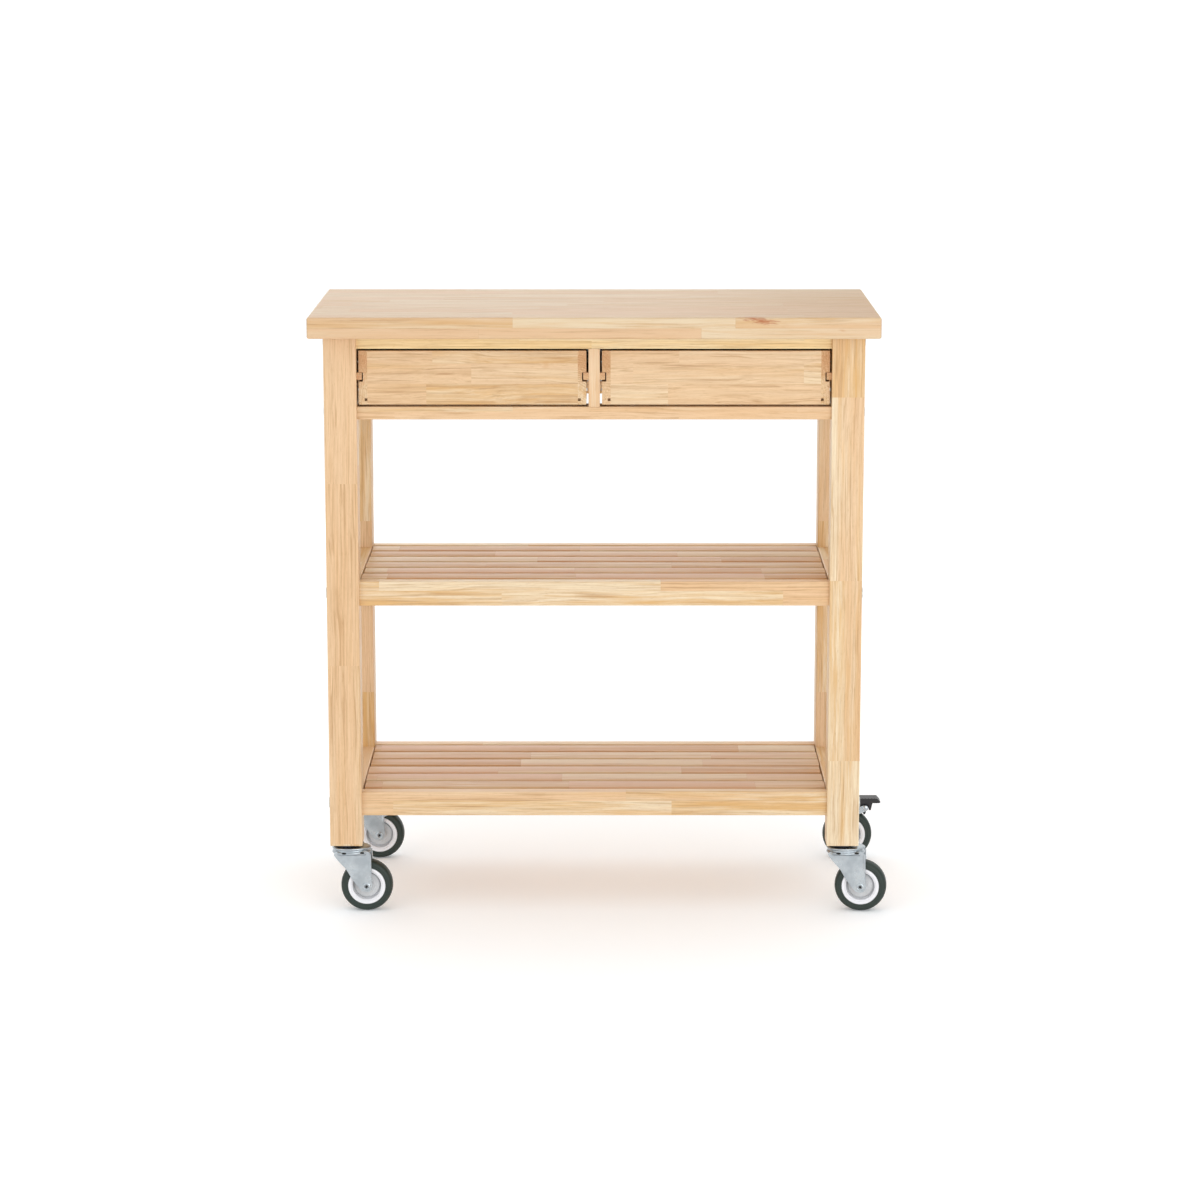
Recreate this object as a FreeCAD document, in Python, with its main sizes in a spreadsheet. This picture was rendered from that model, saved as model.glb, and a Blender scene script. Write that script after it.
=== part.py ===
import FreeCAD, Part
import math
import os
import re
import Sketcher

# Kitchen trolley of finger-jointed rubberwood: a worktop on four legs with casters, two drawers
# under the top and two slatted shelves.
# Millimetres, +Z up. The origin is on the floor, midway between the four legs. X runs along the
# worktop. The drawers open towards +Y, the front. The back is -Y, left is -X and right is +X.

Vector = FreeCAD.Vector
Rotation = FreeCAD.Rotation
Placement = FreeCAD.Placement
doc = FreeCAD.newDocument("kitchen_trolley")

# ---------------------------------------------------------------- driving dimensions

DIMENSIONS = (
    ("top_length", 800, "worktop along X"),
    ("top_depth", 400, "worktop along Y"),
    ("top_thickness", 30, "worktop"),
    ("overall_height", 865, "floor to the worktop's surface"),
    ("top_round", 3, "rounding of the worktop's edges"),
    ("end_overhang", 20, "worktop past the legs at the left and right"),
    ("front_overhang", 30, "worktop past the legs at the front and back"),
    ("leg_size", 46, "square section of a leg"),
    ("wood_round", 2, "rounding of legs and rails"),
    ("slim_round", 1, "rounding of slats, runners and drawer boards"),
    ("rail_recess", 8, "rails set back from the legs' outer faces"),
    ("rail_height", 18, "long rails above and below the drawers"),
    ("rail_depth", 40, "the same rails and the divider posts along Y"),
    ("opening_height", 82, "between the long rails"),
    ("apron_thickness", 20, "side aprons and shelf end rails"),
    ("tenon_length", 14, "aprons and end rails into the legs"),
    ("tenon_thickness", 8, "all tenons of the frame"),
    ("tenon_shoulder", 10, "frame tenons, above and below"),
    ("divider_width", 16, "divider posts and the beam between them"),
    ("beam_height", 44, "beam that carries the inner runners"),
    ("beam_rise", 22, "beam above the lower rails"),
    ("drawer_gap", 3, "round a drawer in its opening"),
    ("drawer_back_gap", 2, "drawer's back end behind the rails' face"),
    ("side_thickness", 12, "drawer sides and back"),
    ("front_thickness", 16, "drawer front"),
    ("stub_length", 8, "stub tenons of a drawer side in the front"),
    ("stub_thickness", 6, "the same"),
    ("bottom_thickness", 4, "drawer bottom"),
    ("bottom_groove", 4, "depth of the groove for the bottom"),
    ("bottom_rise", 5, "bottom above the sides' lower edges"),
    ("groove_height", 13, "runner groove in a drawer side"),
    ("groove_depth", 6, "the same"),
    ("groove_rise", 32.5, "runner groove above the side's lower edge"),
    ("runner_height", 10, "runner section along Z"),
    ("runner_reach", 7.4, "runner section along X"),
    ("runner_play", 0.3, "groove's roof above the runner"),
    ("runner_end_gap", 1, "runner's back end behind the rails' face"),
    ("runner_stop_gap", 3, "runner's front end behind the drawer front"),
    ("knob_radius", 15, "drawer knob"),
    ("knob_length", 24, "drawer knob"),
    ("knob_neck", 7, "drawer knob's waist radius"),
    ("knob_foot", 10, "drawer knob's foot radius"),
    ("shelf_rail_height", 35, "front and back rails of a shelf, and its end rails"),
    ("shelf_rail_thickness", 20, "front and back rails of a shelf"),
    ("mid_shelf_height", 485, "middle shelf's surface above the floor"),
    ("low_shelf_height", 178, "bottom shelf's surface above the floor"),
    ("slat_count", 6, "slats in a shelf"),
    ("slat_gap", 8, "between slats"),
    ("slat_thickness", 18, "slats"),
    ("slat_end_gap", 1, "slat's end to the end rail"),
    ("cleat_width", 18, "cleat under the slats' ends, along X"),
    ("cleat_height", 16, "the same, along Z"),
    ("wheel_radius", 37.5, "tyre's outside"),
    ("wheel_clearance", 9, "tyre to the fork's crown above it"),
    ("wheel_width", 24, "tyre"),
    ("tyre_round", 5, "tyre's shoulders"),
    ("rim_radius", 27, "tyre's inside on the rim"),
    ("dish_radius", 20.5, "edge of the wheel's dished web"),
    ("dish_depth", 8, "web's face behind the rim's face"),
    ("hub_radius", 9, "wheel's hub"),
    ("hub_play", 0.5, "hub's end to the fork"),
    ("trail", 28, "wheel's axle behind the swivel axis"),
    ("axle_radius", 4, "tubular rivet through the wheel"),
    ("axle_bore", 1.6, "hole through that rivet"),
    ("rivet_head", 1.3, "thickness of the rivets' heads"),
    ("running_clearance", 0.05, "between a pin and its bore, on the radius"),
    ("fork_gap", 27, "between the fork's cheeks"),
    ("fork_steel", 2.5, "thickness of the fork's steel"),
    ("fork_boss", 8.5, "rounded end of a cheek about the axle"),
    ("fork_back", 35, "cheek's trailing edge behind the swivel axis"),
    ("crown_radius", 21.5, "pressed crown of the fork"),
    ("crown_height", 11.5, "the same"),
    ("crown_gap", 0.4, "between crown and the fixed plate above it"),
    ("seal_radius", 17, "dust seal on the fixed plate"),
    ("seal_height", 2.1, "the same"),
    ("plate_radius", 20, "fixed plate against the leg"),
    ("plate_thickness", 2, "the same"),
    (
        "caster_height",
        "=2 * wheel_radius + wheel_clearance + crown_height + crown_gap + seal_height + plate_thickness",
        "floor to the underside of a leg",
    ),
    ("stem_radius", 5, "threaded stem in the leg"),
    ("stem_length", 32, "the same"),
    ("king_pin_radius", 4, "rivet that the fork turns on"),
    ("pedal_width", 25, "brake pedal along Y"),
    ("pedal_clearance", 12.85126, "pedal's rivet to the tyre's outside"),
    ("pedal_lean", 32.42705, "degrees from upright of the line from axle to pedal rivet"),
    (
        "pedal_pivot",
        "=trail + (wheel_radius + pedal_clearance) * sin(pedal_lean)",
        "pedal's rivet behind the swivel axis",
    ),
    (
        "pedal_pivot_height",
        "=wheel_radius + (wheel_radius + pedal_clearance) * cos(pedal_lean)",
        "pedal's rivet above the floor",
    ),
    ("pedal_pin_radius", 2.5, "pedal's rivet"),
    ("pedal_hub", 5.5, "pedal's hub about the rivet"),
    ("pedal_hub_width", 12, "pedal's hub and brake nose along Y"),
    ("nose_reach", 12.4, "brake nose below the rivet's centre"),
    ("nose_width", 1.8, "brake nose where it meets the tyre, along X"),
    ("tread_ahead", 25, "pedal's tread ahead of its rivet"),
    ("tread_behind", 23, "the same, behind it"),
    ("tread_low", 7, "tread's underside above the rivet's centre"),
    ("tread_high", 14, "tread's top above the rivet's centre"),
    ("tread_slant", 5, "slope of the tread's tip, along X"),
    ("claw_gap", 5.8, "pedal's claws from the rivet's centre"),
    ("claw_thickness", 2.5, "the same at their lower ends"),
    ("claw_reach", 5, "claws below the rivet's centre"),
    ("arm_height", 8.6, "fork's arms that hold the pedal"),
    ("back_right_turn", -6, "degrees that the back right caster is turned"),
    ("bolt_radius", 3, "frame bolts"),
    ("bolt_length", 72, "frame bolts under the head"),
    ("bolt_head_radius", 8, "frame bolts"),
    ("bolt_head_height", 2, "frame bolts"),
    ("bolt_key", 2.9, "hexagon socket of the bolts, to a corner"),
    ("nut_radius", 5, "barrel nuts"),
    ("nut_length", 14, "barrel nuts"),
    ("nut_inset", 20, "barrel nut's axis from the rail's end"),
    ("screw_radius", 2, "wood screws"),
    ("screw_head_radius", 4, "wood screws"),
    ("screw_head_height", 2.2, "wood screws' countersink"),
    ("screw_point", 4, "wood screws' point"),
    ("long_screw", 30, "wood screws"),
    ("short_screw", 20, "wood screws through the runners"),
    ("top_screw_pitch", 250, "worktop's screws along X"),
    ("top_screw_shift", 32, "the same, from the middle"),
    ("runner_screw_inset", 15, "outer runner's screws from the legs' middles"),
    ("runner_screw_y", 62, "inner runner's screws from the middle"),
    ("runner_screw_stagger", 6, "between the screws of facing runners"),
    ("cleat_screw_y", 74, "cleat's own screws from the middle"),
    ("back_screw_drop", 16, "upper screws of a drawer back from its top edge"),
)

sheet = doc.addObject("Spreadsheet::Sheet", "Sizes")
for row, (alias, number, meaning) in enumerate(DIMENSIONS, start=1):
    sheet.set(f"A{row}", meaning)
    sheet.set(f"B{row}", str(number))
    sheet.setAlias(f"B{row}", alias)
doc.recompute()
ALIASES = {alias for alias, number, meaning in DIMENSIONS}
SLATS = int(sheet.get("slat_count"))
MIRROR = (-1, 1)

# Places that more than one piece shares, as expressions on the sheet.
LEG_X = "(top_length / 2 - end_overhang - leg_size / 2)"
LEG_Y = "(top_depth / 2 - front_overhang - leg_size / 2)"
LEG_INNER_X = "(top_length / 2 - end_overhang - leg_size)"
LEG_INNER_Y = "(top_depth / 2 - front_overhang - leg_size)"
RAIL_FACE = "(top_depth / 2 - front_overhang - rail_recess)"
APRON_X = "(top_length / 2 - end_overhang - rail_recess - apron_thickness / 2)"
END_RAIL_X = f"({LEG_INNER_X} + apron_thickness / 2)"
TOP_UNDER = "(overall_height - top_thickness)"
OPENING_TOP = f"({TOP_UNDER} - rail_height)"
OPENING_BOTTOM = f"({OPENING_TOP} - opening_height)"
LOWER_RAIL_Z = f"({OPENING_BOTTOM} - rail_height)"
DRAWER_Z = f"({OPENING_BOTTOM} + drawer_gap)"
DRAWER_HEIGHT = "(opening_height - 2 * drawer_gap)"
RUNNER_Z = f"({DRAWER_Z} + groove_rise + groove_height - runner_play - runner_height)"
RUNNER_MID_Z = f"({RUNNER_Z} + runner_height / 2)"
SHELF_INNER_Y = f"({RAIL_FACE} - shelf_rail_thickness)"
SLAT_WIDTH = f"((2 * {SHELF_INNER_Y} - (slat_count + 1) * slat_gap) / slat_count)"
FORK_WIDTH = "(fork_gap + 2 * fork_steel)"
CROWN_Z = "(caster_height - plate_thickness - seal_height - crown_gap - crown_height)"


# ---------------------------------------------------------------- how pieces are made


def on_sheet(text):
    """An expression whose aliases are looked up on the sheet."""
    return re.sub(
        r"[a-z_]+",
        lambda word: f"Sizes.{word.group()}" if word.group() in ALIASES else word.group(),
        str(text),
    )


def bind(item, prop, text):
    item.setExpression(prop, on_sheet(text))


def put(item, place):
    """Bind an object's place: three expressions."""
    for axis, text in zip("xyz", place):
        bind(item, f"Placement.Base.{axis}", text)


def block(body, kind, size, place):
    """A box added to or taken from a body: place is its middle along X and Y and its underside."""
    box = body.newObject(f"PartDesign::{kind}Box", f"{body.Name}_{kind}")
    for prop, text in zip(("Length", "Width", "Height"), size):
        bind(box, prop, text)
    put(box, (f"{place[0]} - ({size[0]}) / 2", f"{place[1]} - ({size[1]}) / 2", place[2]))
    return box


def rod(body, kind, radius, length, start, direction):
    """A cylinder added to or taken from a body, from start along direction."""
    cylinder = body.newObject(f"PartDesign::{kind}Cylinder", f"{body.Name}_{kind}")
    bind(cylinder, "Radius", radius)
    bind(cylinder, "Height", length)
    cylinder.Placement = Placement(Vector(), Rotation(Vector(0, 0, 1), Vector(*direction)))
    put(cylinder, start)
    return cylinder


def ease(body, radius, direction=None):
    """Round a body's straight edges, all of them or those along one direction."""
    doc.recompute()
    tip = body.Tip
    names = []
    for index, edge in enumerate(tip.Shape.Edges, start=1):
        along = edge.tangentAt(edge.FirstParameter)
        if direction is None or abs(along.dot(Vector(*direction))) > 0.9:
            names.append(f"Edge{index}")
    fillet = body.newObject("PartDesign::Fillet", f"{body.Name}_round")
    fillet.Base = (tip, names)
    bind(fillet, "Radius", radius)


def board(name, size, place, radius=None, direction=None):
    """A planed board: size along X, Y and Z; place as in block; edges rounded along direction."""
    body = doc.addObject("PartDesign::Body", name)
    block(body, "Additive", size, ("0", "0", "0"))
    put(body, place)
    if radius:
        ease(body, radius, direction)
    return body


def outline(body, plane, points):
    """A closed sketch with straight sides: each corner is a pair of expressions."""
    sketch = body.newObject("Sketcher::SketchObject", f"{body.Name}_outline")
    origin_plane = next(f for f in body.Origin.OriginFeatures if f.Role == plane)
    sketch.AttachmentSupport = (origin_plane, "")
    sketch.MapMode = "FlatFace"
    count = len(points)
    # The corners start on a circle, and their constraints bring them to their places.
    turns = [2 * math.pi * i / count for i in range(count)]
    ring = [Vector(math.cos(turn), math.sin(turn)) for turn in turns]
    for i in range(count):
        sketch.addGeometry(Part.LineSegment(ring[i], ring[(i + 1) % count]))
    for i in range(count):
        sketch.addConstraint(Sketcher.Constraint("Coincident", i, 2, (i + 1) % count, 1))
    for i, corner in enumerate(points):
        for kind, text, start in zip(("DistanceX", "DistanceY"), corner, ring[i]):
            fixed = sketch.addConstraint(Sketcher.Constraint(kind, -1, 1, i, 1, start))
            bind(sketch, f"Constraints[{fixed}]", text)
    return sketch


def turned(name, plane, axis, points):
    """A body turned from an outline about its sketch's horizontal or vertical axis."""
    body = doc.addObject("PartDesign::Body", name)
    sketch = outline(body, plane, points)
    revolution = body.newObject("PartDesign::Revolution", f"{name}_turned")
    revolution.Profile = sketch
    revolution.ReferenceAxis = (sketch, [axis])
    revolution.Angle = 360
    return body


def pad(body, points, width):
    """An outline in the XZ plane, thickened to both sides of it."""
    sketch = outline(body, "XZ_Plane", points)
    thick = body.newObject("PartDesign::Pad", f"{body.Name}_pad")
    thick.Profile = sketch
    thick.SideType = "Symmetric"
    bind(thick, "Length", width)
    return thick


def group(name, pieces):
    compound = doc.addObject("Part::Compound", name)
    compound.Links = pieces
    return compound


def fasteners(name, places):
    """Copies of fasteners as one group: each entry is a master, a place and a direction."""
    links = []
    for index, (master, place, direction) in enumerate(places):
        link = doc.addObject("App::Link", f"{name}_{index}")
        link.LinkedObject = master
        link.Placement = Placement(Vector(), Rotation(Vector(0, 0, 1), Vector(*direction)))
        put(link, place)
        links.append(link)
    return group(name, links)


nodes = []


def node(label, piece, *hardware):
    """Name a finished sub-part, after each group of hardware has cut its own seat in it."""
    for fitting in hardware:
        cut = doc.addObject("Part::Cut", f"{label}_seats")
        cut.Base = piece
        cut.Tool = fitting
        piece = cut
    piece.Label = label
    nodes.append(piece)
    return piece


def side_name(sign, low="left", high="right"):
    return low if sign < 0 else high


# ---------------------------------------------------------------- fasteners of the frame


def wood_screw(name, length):
    """Countersunk wood screw, its head's face at the origin and its point along +Z."""
    return turned(
        name,
        "XZ_Plane",
        "V_Axis",
        (
            ("0", "0"),
            ("screw_head_radius", "0"),
            ("screw_radius", "screw_head_height"),
            ("screw_radius", f"{length} - screw_point"),
            ("0", length),
        ),
    )


long_screw = wood_screw("long_screw_master", "long_screw")
short_screw = wood_screw("short_screw_master", "short_screw")

# Flat-headed bolt with a hexagon socket; the head's underside is at the origin.
frame_bolt = turned(
    "frame_bolt_master",
    "XZ_Plane",
    "V_Axis",
    (
        ("0", "-bolt_head_height"),
        ("bolt_head_radius - 1", "-bolt_head_height"),
        ("bolt_head_radius", "1 - bolt_head_height"),
        ("bolt_head_radius", "0"),
        ("bolt_radius", "0"),
        ("bolt_radius", "bolt_length - 1"),
        ("bolt_radius - 1", "bolt_length"),
        ("0", "bolt_length"),
    ),
)
doc.recompute()
socket = frame_bolt.newObject("PartDesign::SubtractivePrism", "bolt_socket")
socket.Polygon = 6
bind(socket, "Circumradius", "bolt_key")
bind(socket, "Height", "bolt_head_height + 1.5")
put(socket, ("0", "0", "-bolt_head_height"))

# Barrel nut, upright, with its threaded cross hole along X.
barrel_nut = doc.addObject("PartDesign::Body", "barrel_nut_master")
rod(barrel_nut, "Additive", "nut_radius", "nut_length", ("0", "0", "-nut_length / 2"), (0, 0, 1))
rod(barrel_nut, "Subtractive", "bolt_radius", "2 * nut_radius", ("-nut_radius", "0", "0"), (1, 0, 0))

# The four levels of rails between the legs: middle along Y and along Z.
RAIL_MID_Y = f"({RAIL_FACE} - rail_depth / 2)"
SHELF_RAIL_Y = f"({RAIL_FACE} - shelf_rail_thickness / 2)"
BOLTED_RAILS = (
    (RAIL_MID_Y, f"({OPENING_TOP} + rail_height / 2)"),
    (RAIL_MID_Y, f"({LOWER_RAIL_Z} + rail_height / 2)"),
    (SHELF_RAIL_Y, "(mid_shelf_height - shelf_rail_height / 2)"),
    (SHELF_RAIL_Y, "(low_shelf_height - shelf_rail_height / 2)"),
)
bolt_places = []
nut_places = []
for sx in MIRROR:
    for sy in MIRROR:
        for middle_y, middle_z in BOLTED_RAILS:
            outside = f"{sx} * (top_length / 2 - end_overhang)"
            nut_x = f"{sx} * ({LEG_INNER_X} - nut_inset)"
            bolt_places.append((frame_bolt, (outside, f"{sy} * {middle_y}", middle_z), (-sx, 0, 0)))
            nut_places.append((barrel_nut, (nut_x, f"{sy} * {middle_y}", middle_z), (0, 0, 1)))
frame_bolts = fasteners("frame_bolts", bolt_places)
barrel_nuts = fasteners("barrel_nuts", nut_places)

# Wood screws: worktop, divider posts, runners, cleats and slats.
UP = (0, 0, 1)
DOWN = (0, 0, -1)
SHELF_TOPS = ("mid_shelf_height", "low_shelf_height")


def slat_y(index):
    """Middle of one slat along Y, counted from the back."""
    return f"(-{SHELF_INNER_Y} + (slat_gap + {SLAT_WIDTH}) * {index} + slat_gap + {SLAT_WIDTH} / 2)"


CLEAT_X = f"({LEG_INNER_X} - cleat_width / 2)"
screw_places = []
for sy in MIRROR:
    for sx in (-1, 0, 1):
        along = f"{sx} * top_screw_pitch + top_screw_shift"
        screw_places.append((long_screw, (along, f"{sy} * {RAIL_MID_Y}", OPENING_TOP), UP))
    screw_places.append((long_screw, ("0", f"{sy} * {RAIL_MID_Y}", LOWER_RAIL_Z), UP))
    screw_places.append((long_screw, ("0", f"{sy} * {RAIL_MID_Y}", TOP_UNDER), DOWN))
    for sx in MIRROR:
        outer = f"{sx} * ({LEG_INNER_X} - runner_reach)"
        inner = f"{sx} * (divider_width / 2 + runner_reach)"
        stagger = f"{sy} * runner_screw_y + {sx} * runner_screw_stagger"
        by_leg = f"{sy} * ({LEG_Y} - runner_screw_inset)"
        screw_places.append((short_screw, (outer, by_leg, RUNNER_MID_Z), (sx, 0, 0)))
        screw_places.append((short_screw, (inner, stagger, RUNNER_MID_Z), (-sx, 0, 0)))
for top in SHELF_TOPS:
    for sx in MIRROR:
        cleat_z = f"({top} - slat_thickness - cleat_height)"
        for index in range(SLATS):
            screw_places.append((long_screw, (f"{sx} * {CLEAT_X}", slat_y(index), cleat_z), UP))
        for sy in MIRROR:
            face = f"{sx} * ({LEG_INNER_X} - cleat_width)"
            middle = f"{cleat_z} + cleat_height / 2"
            screw_places.append((long_screw, (face, f"{sy} * cleat_screw_y", middle), (sx, 0, 0)))
wood_screws = fasteners("wood_screws", screw_places)

# The fixed part of each caster: threaded stem, round plate, seal and king pin in one turned piece.
PLATE_Z = "(caster_height - plate_thickness)"
SEAL_Z = f"({PLATE_Z} - seal_height)"
PIN_HEAD_TOP = f"({CROWN_Z} - crown_gap)"
caster_mount = turned(
    "caster_mount_master",
    "XZ_Plane",
    "V_Axis",
    (
        ("0", f"{PIN_HEAD_TOP} - plate_thickness"),
        ("king_pin_radius + 3", f"{PIN_HEAD_TOP} - plate_thickness"),
        ("king_pin_radius + 3", PIN_HEAD_TOP),
        ("king_pin_radius", PIN_HEAD_TOP),
        ("king_pin_radius", SEAL_Z),
        ("seal_radius", SEAL_Z),
        ("seal_radius", PLATE_Z),
        ("plate_radius", PLATE_Z),
        ("plate_radius", "caster_height"),
        ("stem_radius", "caster_height"),
        ("stem_radius", "caster_height + stem_length"),
        ("0", "caster_height + stem_length"),
    ),
)
mount_places = []
for sx in MIRROR:
    for sy in MIRROR:
        mount_places.append((caster_mount, (f"{sx} * {LEG_X}", f"{sy} * {LEG_Y}", "0"), UP))
caster_mounts = fasteners("caster_mounts", mount_places)

node("frame_bolts", frame_bolts)
node("barrel_nuts", barrel_nuts)
node("wood_screws", wood_screws)
node("caster_mounts", caster_mounts)

# ---------------------------------------------------------------- worktop

worktop = board(
    "worktop_board", ("top_length", "top_depth", "top_thickness"), ("0", "0", TOP_UNDER), "top_round"
)
node("worktop", worktop, wood_screws)

# ---------------------------------------------------------------- legs

APRON_HEIGHT = f"({TOP_UNDER} - {LOWER_RAIL_Z})"
TENONED_BOARDS = (
    (f"({APRON_X} - {LEG_X})", LOWER_RAIL_Z, APRON_HEIGHT),
    (f"({END_RAIL_X} - {LEG_X})", "(mid_shelf_height - shelf_rail_height)", "shelf_rail_height"),
    (f"({END_RAIL_X} - {LEG_X})", "(low_shelf_height - shelf_rail_height)", "shelf_rail_height"),
)
for sx in MIRROR:
    for sy in MIRROR:
        label = f"leg_{side_name(sy, 'back', 'front')}_{side_name(sx)}"
        place = (f"{sx} * {LEG_X}", f"{sy} * {LEG_Y}", "caster_height")
        height = f"{TOP_UNDER} - caster_height"
        leg = board(f"{label}_blank", ("leg_size", "leg_size", height), place, "wood_round", UP)
        # Mortises for the side apron and the shelves' end rails, in the face towards the other leg.
        for offset, low, tall in TENONED_BOARDS:
            block(
                leg,
                "Subtractive",
                ("tenon_thickness", "tenon_length", f"{tall} - 2 * tenon_shoulder"),
                (
                    f"{sx} * {offset}",
                    f"{-sy} * (leg_size - tenon_length) / 2",
                    f"{low} + tenon_shoulder - caster_height",
                ),
            )
        node(label, leg, frame_bolts, wood_screws, caster_mounts)

# ---------------------------------------------------------------- rails along X

RAIL_LENGTH = f"(2 * {LEG_INNER_X})"
LONG_RAILS = (
    ("rail_top", "rail_depth", RAIL_MID_Y, OPENING_TOP, "rail_height"),
    ("rail_lower", "rail_depth", RAIL_MID_Y, LOWER_RAIL_Z, "rail_height"),
    ("mid_shelf_rail", "shelf_rail_thickness", SHELF_RAIL_Y,
     "(mid_shelf_height - shelf_rail_height)", "shelf_rail_height"),
    ("bottom_shelf_rail", "shelf_rail_thickness", SHELF_RAIL_Y,
     "(low_shelf_height - shelf_rail_height)", "shelf_rail_height"),
)
for name, thick, middle_y, low, tall in LONG_RAILS:
    for sy in MIRROR:
        label = f"{name}_{side_name(sy, 'back', 'front')}"
        size = (RAIL_LENGTH, thick, tall)
        rail = board(f"{label}_blank", size, ("0", f"{sy} * {middle_y}", low), "wood_round", (1, 0, 0))
        # A hole from below for the barrel nut at each end.
        for sx in MIRROR:
            depth = f"{tall} / 2 + nut_length / 2"
            nut_x = f"{sx} * ({LEG_INNER_X} - nut_inset)"
            rod(rail, "Subtractive", "nut_radius", depth, (nut_x, "0", "0"), UP)
        node(label, rail, wood_screws, frame_bolts)

# ---------------------------------------------------------------- rails along Y


def cross_rail(name, middle_x, low, tall):
    """A board between a back leg and a front leg, with a tenon at each end."""
    size = ("apron_thickness", f"2 * {LEG_INNER_Y}", tall)
    rail = board(name, size, (middle_x, "0", low), "wood_round", (0, 1, 0))
    tenon = ("tenon_thickness", f"2 * ({LEG_INNER_Y} + tenon_length)", f"{tall} - 2 * tenon_shoulder")
    block(rail, "Additive", tenon, ("0", "0", "tenon_shoulder"))
    return rail


for sx in MIRROR:
    label = f"apron_{side_name(sx)}"
    apron = cross_rail(f"{label}_board", f"{sx} * {APRON_X}", LOWER_RAIL_Z, APRON_HEIGHT)
    node(label, apron, frame_bolts)

for shelf, top in (("mid_shelf", "mid_shelf_height"), ("bottom_shelf", "low_shelf_height")):
    ends = []
    for sx in MIRROR:
        name = f"{shelf}_end_{side_name(sx)}"
        low = f"({top} - shelf_rail_height)"
        ends.append(cross_rail(name, f"{sx} * {END_RAIL_X}", low, "shelf_rail_height"))
    node(f"{shelf}_end_rails", group(f"{shelf}_ends", ends), wood_screws, frame_bolts)

# ---------------------------------------------------------------- slats and the cleats under them

SLAT_LENGTH = f"(2 * ({LEG_INNER_X} - slat_end_gap))"
cleats = []
for shelf, top in (("mid_shelf", "mid_shelf_height"), ("bottom_shelf", "low_shelf_height")):
    slats = []
    for index in range(SLATS):
        size = (SLAT_LENGTH, SLAT_WIDTH, "slat_thickness")
        place = ("0", slat_y(index), f"{top} - slat_thickness")
        slats.append(board(f"{shelf}_slat_{index}", size, place, "slim_round", (1, 0, 0)))
    node(f"{shelf}_slats", group(f"{shelf}_slat_set", slats), wood_screws)
    for sx in MIRROR:
        size = ("cleat_width", f"2 * {SHELF_INNER_Y}", "cleat_height")
        place = (f"{sx} * {CLEAT_X}", "0", f"{top} - slat_thickness - cleat_height")
        name = f"{shelf}_cleat_{side_name(sx)}"
        cleats.append(board(name, size, place, "slim_round", (0, 1, 0)))
node("shelf_cleats", group("shelf_cleat_set", cleats), wood_screws)

# ---------------------------------------------------------------- divider, beam and runners

BEAM_TENON = ("tenon_thickness", "tenon_length", "beam_height - tenon_shoulder")
POST_BACK = f"({RAIL_FACE} - rail_depth)"
for sy in MIRROR:
    label = f"divider_{side_name(sy, 'back', 'front')}"
    size = ("divider_width", "rail_depth", "opening_height")
    place = ("0", f"{sy} * {RAIL_MID_Y}", OPENING_BOTTOM)
    post = board(f"{label}_post", size, place, "slim_round", UP)
    mortise_y = f"{-sy} * (rail_depth - tenon_length) / 2"
    block(post, "Subtractive", BEAM_TENON, ("0", mortise_y, "beam_rise + tenon_shoulder / 2"))
    node(label, post, wood_screws)

beam_size = ("divider_width", f"2 * {POST_BACK}", "beam_height")
beam_place = ("0", "0", f"{OPENING_BOTTOM} + beam_rise")
beam = board("beam_board", beam_size, beam_place, "slim_round", (0, 1, 0))
beam_tenons = ("tenon_thickness", f"2 * ({POST_BACK} + tenon_length)", "beam_height - tenon_shoulder")
block(beam, "Additive", beam_tenons, ("0", "0", "tenon_shoulder / 2"))
node("centre_beam", beam, wood_screws)

RUNNER_BACK = f"({RAIL_FACE} - runner_end_gap)"
RUNNER_FRONT = f"({RAIL_FACE} - front_thickness - runner_stop_gap)"
runners = []
for sx in MIRROR:
    for name, middle_x in (
        ("outer", f"({LEG_INNER_X} - runner_reach / 2)"),
        ("inner", "(divider_width / 2 + runner_reach / 2)"),
    ):
        size = ("runner_reach", f"{RUNNER_FRONT} + {RUNNER_BACK}", "runner_height")
        place = (f"{sx} * {middle_x}", f"({RUNNER_FRONT} - {RUNNER_BACK}) / 2", RUNNER_Z)
        runners.append(board(f"runner_{name}_{side_name(sx)}", size, place, "slim_round", (0, 1, 0)))
node("drawer_runners", group("drawer_runner_set", runners), wood_screws)

# ---------------------------------------------------------------- drawers

DRAWER_OUTER = f"({LEG_INNER_X} - drawer_gap)"
DRAWER_INNER = "(divider_width / 2 + drawer_gap)"
DRAWER_X = f"(({DRAWER_OUTER} + {DRAWER_INNER}) / 2)"
DRAWER_WIDTH = f"({DRAWER_OUTER} - {DRAWER_INNER})"
DRAWER_BACK = f"({RAIL_FACE} - drawer_back_gap)"
SIDE_FRONT = f"({RAIL_FACE} - front_thickness)"
SIDE_LENGTH = f"({SIDE_FRONT} + {DRAWER_BACK})"
SIDE_MID_Y = f"(({SIDE_FRONT} - {DRAWER_BACK}) / 2)"
INSIDE_WIDTH = f"({DRAWER_WIDTH} - 2 * side_thickness)"
PANEL_WIDTH = f"({INSIDE_WIDTH} + 2 * bottom_groove)"
STUB_HEIGHT = f"({DRAWER_HEIGHT} - 2 * tenon_shoulder)"
BACK_MID_Y = f"(side_thickness / 2 - {DRAWER_BACK})"
FRONT_MID_Y = f"({RAIL_FACE} - front_thickness / 2)"
KNOB_Z = f"({DRAWER_Z} + {DRAWER_HEIGHT} / 2)"
# Two screws through each side into the back, clear of both grooves.
SCREW_RISES = ("(groove_rise + bottom_rise + bottom_thickness) / 2", f"({DRAWER_HEIGHT} - back_screw_drop)")


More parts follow.
